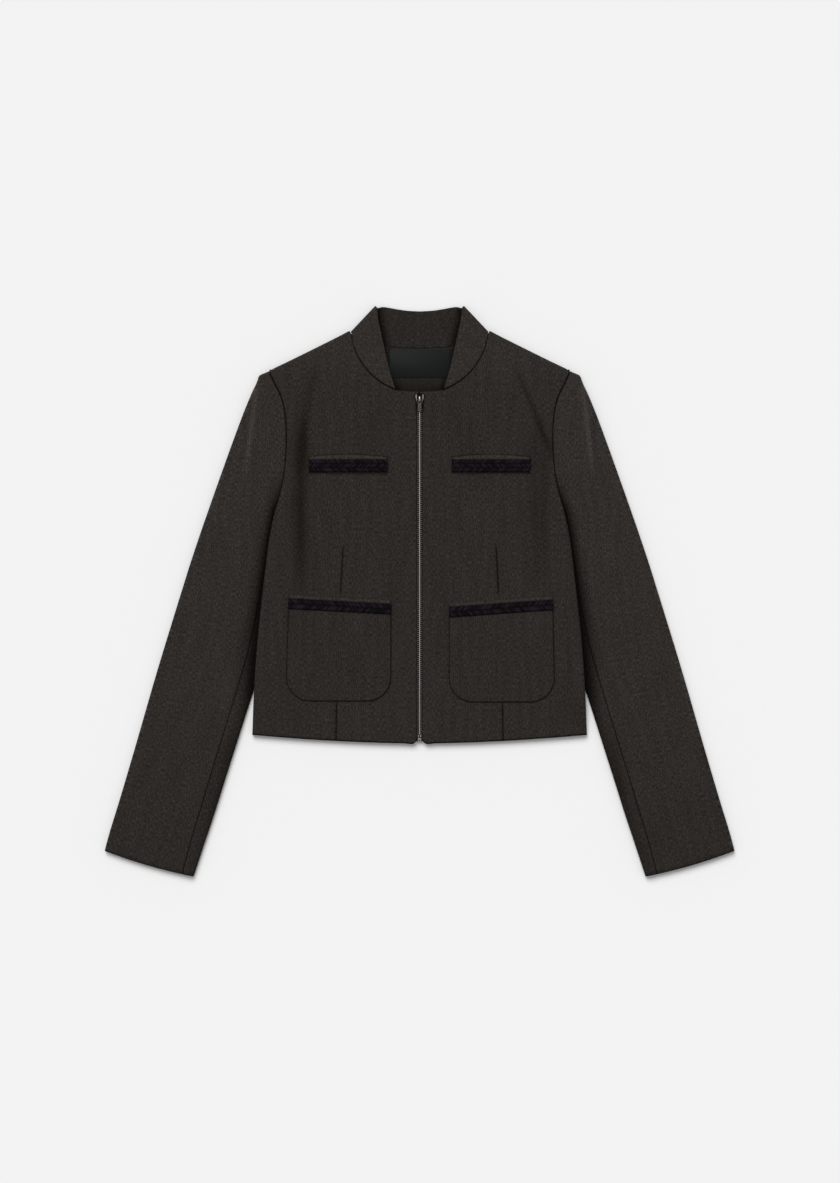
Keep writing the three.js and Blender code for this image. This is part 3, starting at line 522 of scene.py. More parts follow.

# %% [markdown]
# The half panel is then placed on its side of the jacket and raised by the folds. The seam value also
# carries painted shade in the deep folds and in a band beside the slider, and a painted highlight that
# makes the fronts paler towards the neck and shoulders.

# %% Placing a panel
def place_panel(panel, side):
    """The half panel's two skins in the row frame, for the side at +X or -X."""
    skins, x, y, seam, uv, upper = panel
    grids = []
    for px, py, down, depth in skins:
        if upper:
            z = front_top(side * x, y) - depth - down
        else:
            z = back_bottom(x, y) + depth + down
        grids.append(np.stack([side * px + 0 * z, py + 0 * z, z], -1))
    turned_uv = uv * np.array([side, 1.0])
    if upper:
        # painted shade in the fold troughs and in a band beside the slider; a painted highlight makes the
        # fronts paler towards the neck and shoulders
        troughs = -folds(PAIRED_FOLDS, x, y) - 1.2 * folds(FRONT_CREASES, side * x, y)
        slider_side = mix(4.3, 5.8, ease(y, 234, 241))
        by_slider = np.exp(-(((x - slider_side) / 0.9) ** 2)) * ease(y, 223, 226) * (1 - ease(y, 242, 246))
        painted_highlight = 0.14 * ease(y, 240, 300)
        seam = np.clip(0.06 - painted_highlight + by_slider + seam + 0.26 * np.clip(troughs, 0, 2.4), -0.4, 1)
    return grids[0], grids[1], turned_uv, seam


print("side turn at the hem and at the shoulder:", side_roll(HEM_SIDE_Y), side_roll(TIP_Y))

# %% [markdown]
# A grid needs points where the shape changes fast and few elsewhere. Rows are close
# together at the hem and the shoulder, and columns along the dart and the front edge.

# %% Rows and columns of a panel
def edge_rows(start, end, fine, step):
    """Heights from start to end: a few close to each end, then evenly spaced."""
    near = np.array([0, 0.25, 0.6, 1.1, 1.8, 2.8])
    middle = np.linspace(start + 4, end - 4, int((end - start) / step))
    return np.concatenate([start + near * fine, middle, end - near[::-1] * fine])


def panel_columns(neck, x_start, spacing):
    """Top of each column: along the neck, then along the shoulder to its tip."""
    tip_x = body_edge_x(TIP_Y)
    x = np.linspace(SHOULDER_NECK[0] + 0.3, tip_x, int((tip_x - SHOULDER_NECK[0]) / spacing))
    dart_x = mix(x_start, tip_x, DART_SHARE)
    near_dart = dart_x + np.array([-2.4, -1.6, -1.0, -0.55, -0.2, 0, 0.2, 0.55, 1.0, 1.6, 2.4])
    x = np.concatenate([x, near_dart, tip_x - np.array([0.3, 0.7, 1.3, 2.0])])
    x = np.unique(np.round(x, 4))
    y = SHOULDER_NECK[1] - SLOPE * (x - SHOULDER_NECK[0])
    roll = ease(x, SHOULDER_NECK[0] + 1, SHOULDER_NECK[0] + 15)
    top_x = np.concatenate([neck[:, 0], x])
    top_y = np.concatenate([neck[:, 1], y])
    return top_x, top_y, np.concatenate([np.zeros(len(neck)), roll])


front_neck = smooth_path(NECK_SEAM, 36)
back_neck = smooth_path(BACK_NECK_SEAM, 26)[::-1]
print(f"points along the neck: {len(front_neck)} in front, {len(back_neck)} behind")

# %% [markdown]
# The fronts stop short of the middle, with the zip between them, and the collar is set
# back from there. So the top of each front has a bare edge, level with the slider's top,
# before the neck seam begins. Left and right are one panel, mirrored.

# %% Fronts
bare = FRONT_EDGE_X + np.array([
    0, 0.2, 0.5, 0.9, 1.4, 2.0, 2.8, 4.0, 6.0, 9.0, 12.0, 15.0, 18.0, 21.0, 23.8,
])
bare_y = np.interp(bare, [3.7, 7.7, 14, 22, 30], [248.4, 248.6, 249.0, 249.5, 250])
bare_edge = np.stack([bare, bare_y], -1)
front_columns = panel_columns(np.concatenate([bare_edge, front_neck]), FRONT_EDGE_X, 2.4)
front_rows = edge_rows(HEM_SIDE_Y, TIP_Y, 1.0, 3.0)
front_panel = body_panel(front_columns, front_hem_y, True, front_rows)
for side, label in ((1, "left"), (-1, "right")):
    placed = place_panel(front_panel, side)
    add_cloth(f"front_cloth_{label}", *placed, wool, "flannel", [f"front_{label}"])

# %% [markdown]
# The back is the same half panel with a higher neck. Its two halves are joined into one
# grid, so that it is one piece of cloth with no seam in the middle.

# %% Back
back_columns = panel_columns(back_neck, 0.0, 4.0)
back_rows = edge_rows(HEM_SIDE_Y, TIP_Y, 1.0, 4.5)
back_half = body_panel(back_columns, back_hem_y, False, back_rows)
halves = [place_panel(back_half, side) for side in (-1, 1)]
whole = [np.concatenate([a[:, :0:-1], b], axis=1) for a, b in zip(*halves)]
add_cloth("back_cloth", *whole, wool, "flannel", ["back"])

# %% [markdown]
# The collar is one strip of cloth that goes round the neck. Laid flat it folds at both
# sides: the front leaves lie on top, and the back leaf shows its inner face between them.
# The strip is a grid with one column for each line across it, and the columns at a fold
# go round a half circle.

# %% Lines across the collar
COLLAR_ACROSS = np.unique(np.concatenate([
    np.linspace(0, 1, 18), [0.004, 0.01, 0.018, 0.03, 0.97, 0.982, 0.99, 0.996],
]))


def collar_half(depth):
    """Lines across the left half of the collar: where each starts and ends, and its height."""
    front_edge = smooth_path(COLLAR_FRONT_EDGE, 36)
    seam = front_neck + np.array([-0.12, 0.2])
    seam[-1] = COLLAR_FOLD_SEAM
    turn = np.linspace(0, np.pi, 14)[1:-1][:, None]
    radius = STACK / 2 - depth
    out = radius * np.sin(turn) * COLLAR_FOLD_OUT
    back_edge = smooth_path(COLLAR_BACK_EDGE, 26)
    back_seam = back_neck[::-1] + np.array([0, 0.2])
    back_seam[0] = COLLAR_FOLD_SEAM
    starts = np.concatenate([seam, COLLAR_FOLD_SEAM + out, back_seam])
    ends = np.concatenate([front_edge, front_edge[-1] + out, back_edge])
    height = np.concatenate([
        np.full(len(seam), STACK - depth),
        STACK / 2 + radius * np.cos(turn[:, 0]),
        np.full(len(back_seam), depth),
    ])
    return starts, ends, height


def collar_grid(depth):
    """The whole collar: the left half, then its mirror image."""
    starts, ends, height = collar_half(depth)
    flip = np.array([-1.0, 1.0])
    starts = np.concatenate([starts, starts[-2::-1] * flip])
    ends = np.concatenate([ends, ends[-2::-1] * flip])
    height = np.concatenate([height, height[-2::-1]])
    v = COLLAR_ACROSS[:, None, None]
    plan = mix(starts[None], ends[None], v)
    return np.concatenate([plan, np.broadcast_to(height[None, :, None], plan.shape[:2] + (1,))], -1)


print(f"the collar's grid: {len(COLLAR_ACROSS)} x {2 * len(collar_half(0.0)[2]) - 1} points a side")

# %% [markdown]
# The front leaves are crowned a little, their neck seam is a dark line, and they are painted a little
# paler, a painted highlight. The back leaf lies lower, and painted shade darkens it, most where it goes
# under the front ones.

# %% Collar
collar_outer, collar_inner = collar_grid(0.0), collar_grid(CLOTH)
from_seam = np.linalg.norm(collar_outer - collar_outer[:1], axis=-1)
from_top = np.linalg.norm(collar_outer - collar_outer[-1:], axis=-1)
facing_up = np.sign(collar_outer[..., 2] - STACK / 2)
crown = 0.5 * np.sin(np.pi * COLLAR_ACROSS)[:, None] * (facing_up > 0)
collar_outer[..., 2] += crown - facing_up * (lip(from_seam) + lip(from_top, 1.5, 0.9))
collar_inner[..., 2] += crown
leaf_edge = read_table(COLLAR_FRONT_EDGE[:, 1], COLLAR_FRONT_EDGE[:, 0], collar_outer[..., 1])
from_leaf = np.maximum(leaf_edge - np.abs(collar_outer[..., 0]), 0)
# painted shade on the back leaf, most under the front leaves' edges, and on all its inner face; a painted
# highlight on the front leaves
shade_under_leaves = 0.75 * np.exp(-((from_leaf / 7) ** 2)) * (facing_up < 0)
seam_line = np.exp(-((from_seam / 0.9) ** 2)) * (facing_up > 0)
collar_seam = np.clip(seam_line + shade_under_leaves + np.where(facing_up < 0, 0.2, -0.14), -0.4, 1)
along = np.concatenate([[0], np.cumsum(np.linalg.norm(np.diff(collar_outer[12], axis=0), axis=-1))])
collar_uv = np.stack(np.broadcast_arrays(along[None, :], from_seam), -1)
add_cloth("collar_cloth", collar_outer, collar_inner, collar_uv, collar_seam, wool, "flannel", ["collar"])

# %% [markdown]
# A tailored sleeve has two pieces. The top sleeve shows; the under sleeve turns over the
# inner edge, so their seam runs a finger's width inside it. Rows are sections down the
# arm, columns go across each section, and both outer edges turn to meet half way up.

# %% Sections of a sleeve
SECTION_STEPS = 150


def sleeve_rows():
    """Sections from the head to the cuff: along the armhole, then down the arm."""
    fall = np.linspace(0, 1, 9)
    y = mix(TIP_Y, UNDERARM_Y, fall)
    outer_y = mix(mix(262.6, 106.0, fall), y, 0.5 * fall)
    head = np.stack([body_half_width(y) + GAP / 2, y, outer_y, 0 * y, 0 * y], -1)
    table = np.concatenate([head, SLEEVE_SECTIONS])
    place = np.linspace(0, len(table) - 1, SECTION_STEPS)
    index = np.arange(len(table))
    rows = np.stack([read_table(index, table[:, k], place) for k in range(5)], -1)
    rows[:, 3] = np.interp(place, index, table[:, 3])
    on_armhole = place <= 8
    rows[on_armhole, 0] = body_half_width(rows[on_armhole, 1]) + GAP / 2
    return rows


print(f"width of the cuff: {np.hypot(*(sleeve_rows()[-1, :2] - SLEEVE_OUTER[-1, ::-1])):.0f} mm")

# %% [markdown]
# Painted shade darkens the sleeve beside the body, where it goes under it, along the forearm's inner edge,
# and a little towards the cuff. A painted highlight makes the ridge that runs down from the shoulder and
# the upper sleeve paler. All this is put into the seam value, since the light alone leaves it too faint.

# %% Shade on a sleeve
def sleeve_shade(x, y, from_inner):
    """The painted shade and painted highlight of a sleeve, added to its seam value: a sum of bells and soft
    steps.
    """
    from_body = np.maximum(x - body_half_width(np.clip(y, HEM_SIDE_Y, SHOULDER_TIP[1])), 0)
    under_body = ease(y, -196, -150) * (1 - ease(y, 96, 150))
    spread = mix(9, 15, ease(-y, -70, 90))
    # painted shade beside the body, along the forearm's inner edge and towards the cuff
    beside = 1.1 * under_body * np.exp(-((from_body / spread) ** 2))
    low = 0.55 * ease(-y, 130, 200) * mix(1, 0.45, ease(-y, 220, 330))
    low_arm = low * np.exp(-((from_inner / 13) ** 2))
    towards_cuff = 0.12 * ease(-y, 60, 320)
    # painted highlight on the ridge and on the upper sleeve
    ridge = 0.8 * folds([SLEEVE_RIDGE], x, y) / SLEEVE_RIDGE[4]
    painted_highlight = 0.04 + 0.07 * ease(y, -60, 160)
    return beside + low_arm + towards_cuff - painted_highlight - ridge


print("shade at the left forearm:", round(float(sleeve_shade(240.0, -190.0, 5.0)), 2))

# %% [markdown]
# The two walls share one function. The under sleeve starts with the strip that shows
# beside the seam, goes round the inner edge as an arc, and runs on flat beneath. The head
# and the outer edge turn down together, as on a pillow's corner.

# %% Walls of a sleeve
def sleeve_panel(upper, side):
    """One sleeve wall as grids of its two skins, its UV along the arm and its seam value."""
    rows = sleeve_rows()
    climb = np.arange(-TURN_ROWS, len(rows))
    section = rows[np.maximum(climb, 0)]
    ix, iy, oy, turn, reach = (section[:, k][:, None] for k in range(5))
    ox = read_table(SLEEVE_OUTER[:, 0], SLEEVE_OUTER[:, 1], oy)
    width = np.hypot(ox - ix, oy - iy)
    ax, ay = (ox - ix) / width, (oy - iy) / width
    head = np.sin(np.maximum(-climb, 0) / TURN_ROWS * np.pi / 2)[:, None]
    flat_end = width - ROLL
    near = np.array([0, 0.006, 0.014, 0.026, 0.04])
    spread = np.concatenate([near, np.linspace(0.06, 1, 72)])[None, :]
    edge = np.sin(np.arange(1, TURN_ROWS + 1) / TURN_ROWS * np.pi / 2)[None, :]
    skins = []
    for depth in (0.0, CLOTH):
        parts = []
        begin = np.where(turn > 0, reach + GAP / 2, 0)
        if not upper:
            top = sleeve_top(ix, iy)
            radius = top / 2
            end = turn * np.pi
            strip = mix(0.8, np.maximum(0.8, reach - GAP / 2 - radius), turn)
            slide = (1 - turn) * (radius - 1.6)
            share = np.linspace(1, 0, 12)[None, :-1]
            arc_d = radius - (radius - depth) * np.sin(end * share) - slide * share
            arc_z = radius - (radius - depth) * np.cos(end * share)
            run = strip * np.array([1, 0.985, 0.96, 0.92, 0.8, 0.55, 0.3, 0.12])[None, :]
            strip_d = arc_d[:, :1] - run * np.cos(end)
            rise = turn * (sleeve_top(ix + ax * strip_d, iy + ay * strip_d) - top)
            strip_z = arc_z[:, :1] + run * np.sin(end) + rise
            if depth == 0:
                strip_z = strip_z - turn * lip(strip - run, 1.8, 0.9)
            parts = [(strip_d, strip_z), (arc_d, arc_z)]
            begin = radius
        fixed_d = np.concatenate([p[0] for p in parts], 1) if parts else np.zeros((len(climb), 0))
        fixed_z = np.concatenate([p[1] for p in parts], 1) if parts else np.zeros((len(climb), 0))
        flat_d = mix(begin, flat_end, spread)
        edge_d = np.broadcast_to(flat_end, (len(climb), TURN_ROWS))
        d = np.concatenate([fixed_d, flat_d, edge_d], 1)
        turn_out = np.concatenate([np.zeros((1, d.shape[1] - TURN_ROWS)), edge], 1)
        fx, fy = ix + ax * d, iy + ay * d
        high = sleeve_top(fx, fy)
        radius = (high - GAP) / 2 - depth
        edge_out = turn_out * np.sqrt(1 - head**2 / 2)
        head_out = head * np.sqrt(1 - turn_out**2 / 2)
        down = radius * (1 - np.sqrt(np.maximum(0, 1 - edge_out**2 - head_out**2)))
        cuff = ease(climb[:, None], len(rows) - 9, len(rows) - 1)
        across = d / width
        bulge = CUFF_BOW * 4 * across * (1 - across) * cuff
        z = high - depth - down if upper else depth + down
        n = fixed_d.shape[1]
        if n:
            z[:, :n] = np.where(turn > 0, fixed_z, z[:, :n])
        if upper and depth == 0:
            z = z - lip(d - begin, 1.8, 0.9) - lip((len(rows) - 1 - climb)[:, None] * 4.4, 2.0, 0.8)
        x = fx + ax * edge_out * radius + ay * bulge
        y = fy + ay * edge_out * radius + head_out * radius * 1.15 - ax * bulge
        skins.append(np.stack([side * x, y, z], -1))
        if depth == 0:
            down_arm = np.cumsum(np.concatenate([[0], np.hypot(*np.diff(section[:, :2], axis=0).T)]))
            uv = np.stack(np.broadcast_arrays(side * d, -down_arm[:, None]), -1)
            seam_line = np.exp(-(((d - begin) / 0.9) ** 2)) if upper else 0 * d
            seam = np.clip(seam_line + sleeve_shade(fx, fy, d), -0.8, 1)
    return skins[0], skins[1], uv, seam


for side, label in ((1, "left"), (-1, "right")):
    for upper, part in ((True, "top_sleeve"), (False, "under_sleeve")):
        wall = sleeve_panel(upper, side)
        add_cloth(f"{part}_cloth_{label}", *wall, wool, "flannel", [f"{part}_{label}"])

# %% [markdown]
# The patch pockets and the small chest welts are cut from the same flannel and laid on
# the fronts. A laid piece is a grid in plan that is lifted off the front's own surface, so
# it follows every fold under it. Its edge is rounded over the seam allowance turned in
# behind it, and that allowance presses a faint ridge through the cloth a little way in.

# %% Laying a piece on the front
# columns: inner x, outer x, top y inside, top y outside, bottom y, flare towards the bottom
POCKETS = {
    1: (36.3, 165.2, -15.2, -6.0, -137.6, 2.0),
    -1: (35.2, 162.2, -11.4, -4.6, -136.4, 3.2),
}
POCKET_CORNER = 30.0
POCKET_CLOTH = 1.8
WELT_X = (39.7, 137.6)
WELT_BOTTOM, WELT_HEIGHT, WELT_ARCH, WELT_CLOTH = 147.4, 19.6, 3.2, 1.6
LAID_GAP = 0.3


def add_laid(name, side, x, y, thick, relief, uv, seam, lift, material, slot, node):
    """A laid piece: z = front top + lift + thickness + relief, with its underside at the lift."""
    z = front_top(side * x, y) + lift
    under = np.stack([side * x, y, z], -1)
    over = np.stack([side * x, y, z + thick + relief], -1)
    return add_cloth(name, over, under, uv * np.array([side, 1.0]), seam, material, slot, [node])


print(f"width of the left pocket: {POCKETS[1][1] - POCKETS[1][0]:.0f} mm")

# %% [markdown]
# The two pockets differ by a few millimetres, as sewn ones do. In plan, the rows of a
# pocket's grid run straight down and then sweep round its two bottom corners.

# %% Patch pockets
def pocket_plan(side):
    """A pocket in plan: rows down its straight part, then round the bottom corners."""
    inner_x, outer_x, inner_y, outer_y, bottom_y, flare = POCKETS[side]
    near = np.array([0, 0.003, 0.007, 0.012, 0.018, 0.026, 0.036])
    u = np.concatenate([near, np.linspace(0.05, 0.95, 46), 1 - near[::-1]])[None, :]
    share = np.concatenate([[0, 0.004, 0.009, 0.015, 0.023, 0.035], np.linspace(0.06, 1, 34)])
    angle = np.linspace(0, np.pi / 2 * 0.985, 30)[1:]
    fall = np.concatenate([share, np.ones(len(angle))])[:, None]
    drop = np.concatenate([0 * share, np.sin(angle)])[:, None]
    inset = np.concatenate([0 * share, 1 - np.cos(angle)])[:, None] * POCKET_CORNER
    x = mix(inner_x + inset, outer_x + flare * fall - inset, u)
    top = mix(inner_y, outer_y, u)
    y = mix(top, bottom_y + POCKET_CORNER, fall) - drop * POCKET_CORNER
    beside = np.minimum(x - inner_x, outer_x + flare * fall - x)
    above = y - bottom_y
    rounded = POCKET_CORNER - np.hypot(POCKET_CORNER - beside, POCKET_CORNER - above)
    in_corner = (beside < POCKET_CORNER) & (above < POCKET_CORNER)
    distance = np.where(in_corner, rounded, np.minimum(beside, above))
    return x, y, np.maximum(0, distance), top - y


for side, label in ((1, "left"), (-1, "right")):
    x, y, to_edge, to_top = pocket_plan(side)
    allowance = 0.22 * np.exp(-(((to_edge - 7.5) / 1.6) ** 2)) * ease(to_top, 14, 22)
    belly = 0.35 * np.sin(np.pi * np.clip(to_top / 122, 0, 1)) * ease(to_edge, 4, 40)
    relief = allowance + belly - lip(np.minimum(to_edge, to_top), 2.0, 1.2)
    # a dark seam line along the pocket's edge, and a painted highlight along its top edge
    seam = 0.1 + np.exp(-((to_edge / 0.95) ** 2)) - 0.35 * np.exp(-(((to_top - 1.8) / 1.4) ** 2))
    uv = np.stack([x, y], -1)
    add_laid(f"pocket_cloth_{label}", side, x, y, POCKET_CLOTH, relief, uv, seam, LAID_GAP,
             wool, "flannel", f"patch_pocket_{label}")

# %% [markdown]
# A chest welt is a folded strip whose top edge bows up a little in the middle, since nothing holds it
# there. Inside the dark line that the seam makes runs a pale line, a painted highlight where its edge would
# catch the light.

# %% Chest welts
across = np.concatenate([
    np.linspace(0, 0.03, 6), np.linspace(0.05, 0.95, 40), np.linspace(0.97, 1, 6),
])[None, :]
down = np.concatenate([
    np.linspace(0, 0.12, 7), np.linspace(0.16, 0.88, 12), np.linspace(0.92, 1, 5),
])[:, None]
x = mix(WELT_X[0], WELT_X[1], across) + 0 * down
rise = WELT_ARCH * 4 * across * (1 - across) * (1 - down)
y = WELT_BOTTOM + WELT_HEIGHT * (1 - down) + rise
to_edge = np.minimum(np.minimum(x - WELT_X[0], WELT_X[1] - x), (WELT_HEIGHT + rise) * down)
relief = -lip(to_edge, 1.8, 1.1) - lip(y - WELT_BOTTOM, 1.2, 0.8)
# a dark seam line at the edge, and a pale painted highlight 3 mm inside it
seam = np.exp(-((to_edge / 1.0) ** 2)) - 0.5 * np.exp(-(((to_edge - 3) / 1.5) ** 2))
for side, label in ((1, "left"), (-1, "right")):
    add_laid(f"welt_cloth_{label}", side, x, y, WELT_CLOTH, relief, np.stack([x, y], -1), seam,
             LAID_GAP, wool, "flannel", f"chest_welt_{label}")

# %% [markdown]
# The braid is a flat plait of dull yarns, near black with plum. In a flat plait the strands cross from edge
# to edge and back, so its face shows rows of slanted stitches that point the same way, like ears of wheat.
# Each stitch is a small rounded lump. The lumps are a height on a fine grid, and each one's own value,
# stored on the points, gives it a tone of its own and a paler crest, a painted highlight.

# %% Braid yarn
def plait_dye_and_highlight(name):
    """Mercerised yarn: near black with plum, some stitches paler at random, and each stitch's crest paler
    as a painted highlight.
    """
    material, tree, shader = new_material(name)
    tone_and_crest_highlight = add_node(tree, "ShaderNodeAttribute", {"attribute_name": "tone_and_crest_highlight"}).outputs["Fac"]
    uv = add_node(tree, "ShaderNodeUVMap", {"uv_map": "cloth"}).outputs["UV"]
    fibres = add_node(tree, "ShaderNodeTexNoise", Vector=uv, Scale=1400.0, Detail=2.0).outputs["Fac"]
    value = add_node(
        tree, "ShaderNodeMath", {"operation": "MULTIPLY_ADD"}, i0=fibres, i1=0.25, i2=tone_and_crest_highlight
    ).outputs[0]
    plies = [(0.35, "#010101"), (0.65, "#090609"), (0.88, "#1b121b"), (1.0, "#2b1e2b")]
    colour = add_node(tree, "ShaderNodeValToRGB", stops=plies, Fac=value).outputs["Color"]
    tree.links.new(colour, shader.inputs["Base Color"])
    bump = add_node(tree, "ShaderNodeBump", Strength=0.5, Distance=0.0003, Height=fibres).outputs["Normal"]
    tree.links.new(bump, shader.inputs["Normal"])
    shader.inputs["Roughness"].default_value = 0.75
    shader.inputs["Specular IOR Level"].default_value = 0.06
    return material


braid_yarn = plait_dye_and_highlight("mercerised_plait")
print(braid_yarn.name, "has", len(braid_yarn.node_tree.nodes), "nodes")

# %% [markdown]
# The plait's relief is a function of the way along and the way across, so no strand has
# to be modelled. Real strands as curves would look the same at this size, and would need
# many more faces.

# %% Braids
STITCH = 2.6
STITCH_LEAN = 1.9
BRAID_CLOTH = 1.7
BRAID_STEP = 0.42
rng = np.random.default_rng(7)


def plait(u, v, rows):
    """Height of a plait, 0 to 1, and a value for each of its stitches.

    u is the way along, v the way across from 0 to 1. Rows of stitches lean to alternate
    sides: a stitch's own coordinate is u / stitch +- lean * v, and its height is a sine
    along it times the root of a sine across its row.
    """
    row = np.clip(np.floor(v * rows), 0, rows - 1)
    inside = v * rows - row
    lean = np.where(row % 2 == 0, 1.0, -1.0)
    along = u / STITCH + lean * (inside - 0.5) * STITCH_LEAN + 0.25 * row
    lump = np.abs(np.sin(np.pi * along))
    crest = np.sqrt(np.clip(np.sin(np.pi * np.clip(inside, 0.02, 0.98)), 0, 1))
    shade = rng.random((rows, 256))
    height = lump * (0.3 + 0.7 * crest)
    # the stitch's value is its height, a painted highlight on its crest, plus its own random tone
    return height, 0.6 * height + 0.4 * shade[row.astype(int), np.floor(along).astype(int) % 256]


def add_braid(name, side, inner, outer, height, rows, lift, node):
    """A braid along a straight line from inner to outer, its top edge.

    Both long edges wave in and out with the stitches: a sine along them times the fourth
    power of the way from the middle.
    """
    length = outer[0] - inner[0]
    u = np.linspace(0, 1, int(length / BRAID_STEP))[None, :]
    v = np.linspace(0, 1, int(height / BRAID_STEP))[:, None]
    lumps, shade = plait(u * length + 0 * v, v + 0 * u, rows)
    phase = u * length / STITCH * np.pi
    by_edge = np.abs(2 * v - 1) ** 4
    ragged = np.where(v < 0.5, np.abs(np.sin(phase)), -np.abs(np.sin(phase + 0.9))) * by_edge
    x = mix(inner[0], outer[0], u) + 0 * v
    y = mix(inner[1], outer[1], u) - v * height + 0.45 * (ragged - np.sign(0.5 - v) * 0.6 * by_edge)
    to_edge = np.minimum(np.minimum(x - inner[0], outer[0] - x), np.minimum(v, 1 - v) * height)
    relief = 0.55 * (lumps - 1) + 0.2 - lip(to_edge, 1.6, 1.0) * (0.6 + 0.4 * lumps)
    uv = np.stack([x, y], -1)
    piece = add_laid(name, side, x, y, BRAID_CLOTH, relief, uv, 0 * x, lift, braid_yarn, "braid", node)
    values = np.concatenate([shade.ravel()] * 2).astype(np.float32)
    piece.data.attributes.new("tone_and_crest_highlight", "FLOAT", "POINT").data.foreach_set("value", values)


for side, label in ((1, "left"), (-1, "right")):
    inner_x, outer_x, inner_y, outer_y = POCKETS[side][:4]
    start, end = (inner_x + 0.2, inner_y - 4.3), (outer_x, outer_y - 4.3)
    lift = 2 * LAID_GAP + POCKET_CLOTH
    add_braid(f"pocket_plait_{label}", side, start, end, 13.0, 2, lift, f"pocket_braid_{label}")
    start, end = ((x, WELT_BOTTOM + 16.0) for x in WELT_X)
    lift = 2 * LAID_GAP + WELT_CLOTH
    add_braid(f"chest_plait_{label}", side, start, end, 15.6, 3, lift, f"chest_braid_{label}")

# %% [markdown]
# Inside the neck a facing of smoother wool lines the top of the back. It is one flat grid between the neck
# seam and a straight lower edge, with two soft ripples. Painted shade darkens it where it goes under the
# collar's leaves and towards the fronts, and a painted highlight runs along its top edge.

# %% Facing
facing_wool = flannel("smooth_wool_facing", "#1a1715", "#25211f", "#312c2a", mottle=0.9)


FACING_HALF, FACING_BOTTOM = 74.0, 222.0
FACING_LOW, FACING_CLOTH = 2.45, 0.8
u, v = np.linspace(-1, 1, 90)[None, :], np.linspace(0, 1, 44)[:, None]
x = FACING_HALF * u + 0 * v
neck_y = read_table(BACK_NECK_SEAM[:, 0], BACK_NECK_SEAM[:, 1], np.abs(x)) - 1.0
y = mix(FACING_BOTTOM, neck_y, v)
ripple = 0.25 * np.exp(-(((x - 18 - 0.3 * (y - 250)) / 16) ** 2))
ripple = ripple + 0.2 * np.exp(-(((x + 34) / 12) ** 2))
over = np.stack([x, y, FACING_LOW + FACING_CLOTH + ripple * ease(y, FACING_BOTTOM, 250)], -1)
under = np.stack([x, y, FACING_LOW + 0 * x], -1)
leaf_x = read_table(COLLAR_FRONT_EDGE[:, 1], COLLAR_FRONT_EDGE[:, 0], y)
from_leaf = np.maximum(leaf_x - np.abs(x), 0)
# painted shade towards the fronts and under the collar's leaves; a painted highlight along the top edge
seam = 0.35 * (1 - ease(y, 249, 263)) + 0.6 * np.exp(-((from_leaf / 7) ** 2))
seam = np.clip(seam - 0.4 * np.exp(-(((neck_y - y) / 1.2) ** 2)), -0.4, 1)
flat = np.stack([x, y], -1)
add_cloth("facing_cloth", over, under, flat, seam, facing_wool, "facing", ["neck_facing"])

# %% [markdown]
# Small hard parts are stacks: copies of one outline at several heights, some of them
# inset, so that the edges are bevelled. A Bevel modifier would do it too, but here every
# face is known, and the parts stay light.

# %% Solids from an outline
def outline_normals(outline):
    """The way out at each corner of an outline that runs anticlockwise, long enough for an even inset."""
    step = np.roll(outline, -1, 0) - outline
    out = np.stack([step[:, 1], -step[:, 0]], -1) / np.hypot(*step.T)[:, None]
    before = np.roll(out, 1, 0)
    return (out + before) / (1 + (out * before).sum(1, keepdims=True))


def stack(outline, levels):
    """A solid from copies of an outline, one for each (inset, height), from the lowest up."""
    outline = np.asarray(outline, float)
    out = outline_normals(outline)
    count = len(outline)
    points = np.concatenate([
        np.column_stack([outline - inset * out, np.full(count, height)]) for inset, height in levels
    ])
    ring = np.arange(count)
    after = np.roll(ring, -1)
    sides = [
        np.stack([ring + k * count, after + k * count, after + (k + 1) * count, ring + (k + 1) * count], -1)
        for k in range(len(levels) - 1)
    ]
    caps = [ring[::-1].tolist(), (ring + (len(levels) - 1) * count).tolist()]
    return points, np.concatenate(sides).tolist() + caps


def add_solid(name, parts, material, nodes, body=JACKET):
    """One object from several (points, faces) solids, flat shaded but for its small bevels."""
    points, faces, first = [], [], 0
    for part_points, part_faces in parts:
        points.append(part_points)
        faces += [[corner + first for corner in face] for face in part_faces]
        first += len(part_points)
    piece = new_piece(name, np.concatenate(points), faces, material, nodes, body)
    piece.data.set_sharp_from_angle(angle=np.radians(38))
    print(f"{name}: {len(faces)} faces")
    return piece


def rounded_box(half_x, low_y, high_y, corner, count=6):
    """A rectangle in plan with round corners, anticlockwise."""
    angle = np.linspace(0, np.pi / 2, count)
    arc = np.stack([np.cos(angle), np.sin(angle)], -1) * corner
    quarter = np.array([[0, -1], [1, 0]])
    turns = [np.linalg.matrix_power(quarter, k) for k in range(4)]
    middles = [(half_x - corner, high_y - corner), (-half_x + corner, high_y - corner),
               (-half_x + corner, low_y + corner), (half_x - corner, low_y + corner)]
    return np.concatenate([arc @ turn.T + middle for turn, middle in zip(turns, middles)])


print("a box with round corners has", len(rounded_box(2.0, -1.0, 1.0, 0.5)), "points")

# %% [markdown]
# The label is polyester satin. Satin is woven so that long threads lie side by side on
# its face, which gives it a soft gleam across the threads. It is left blank.

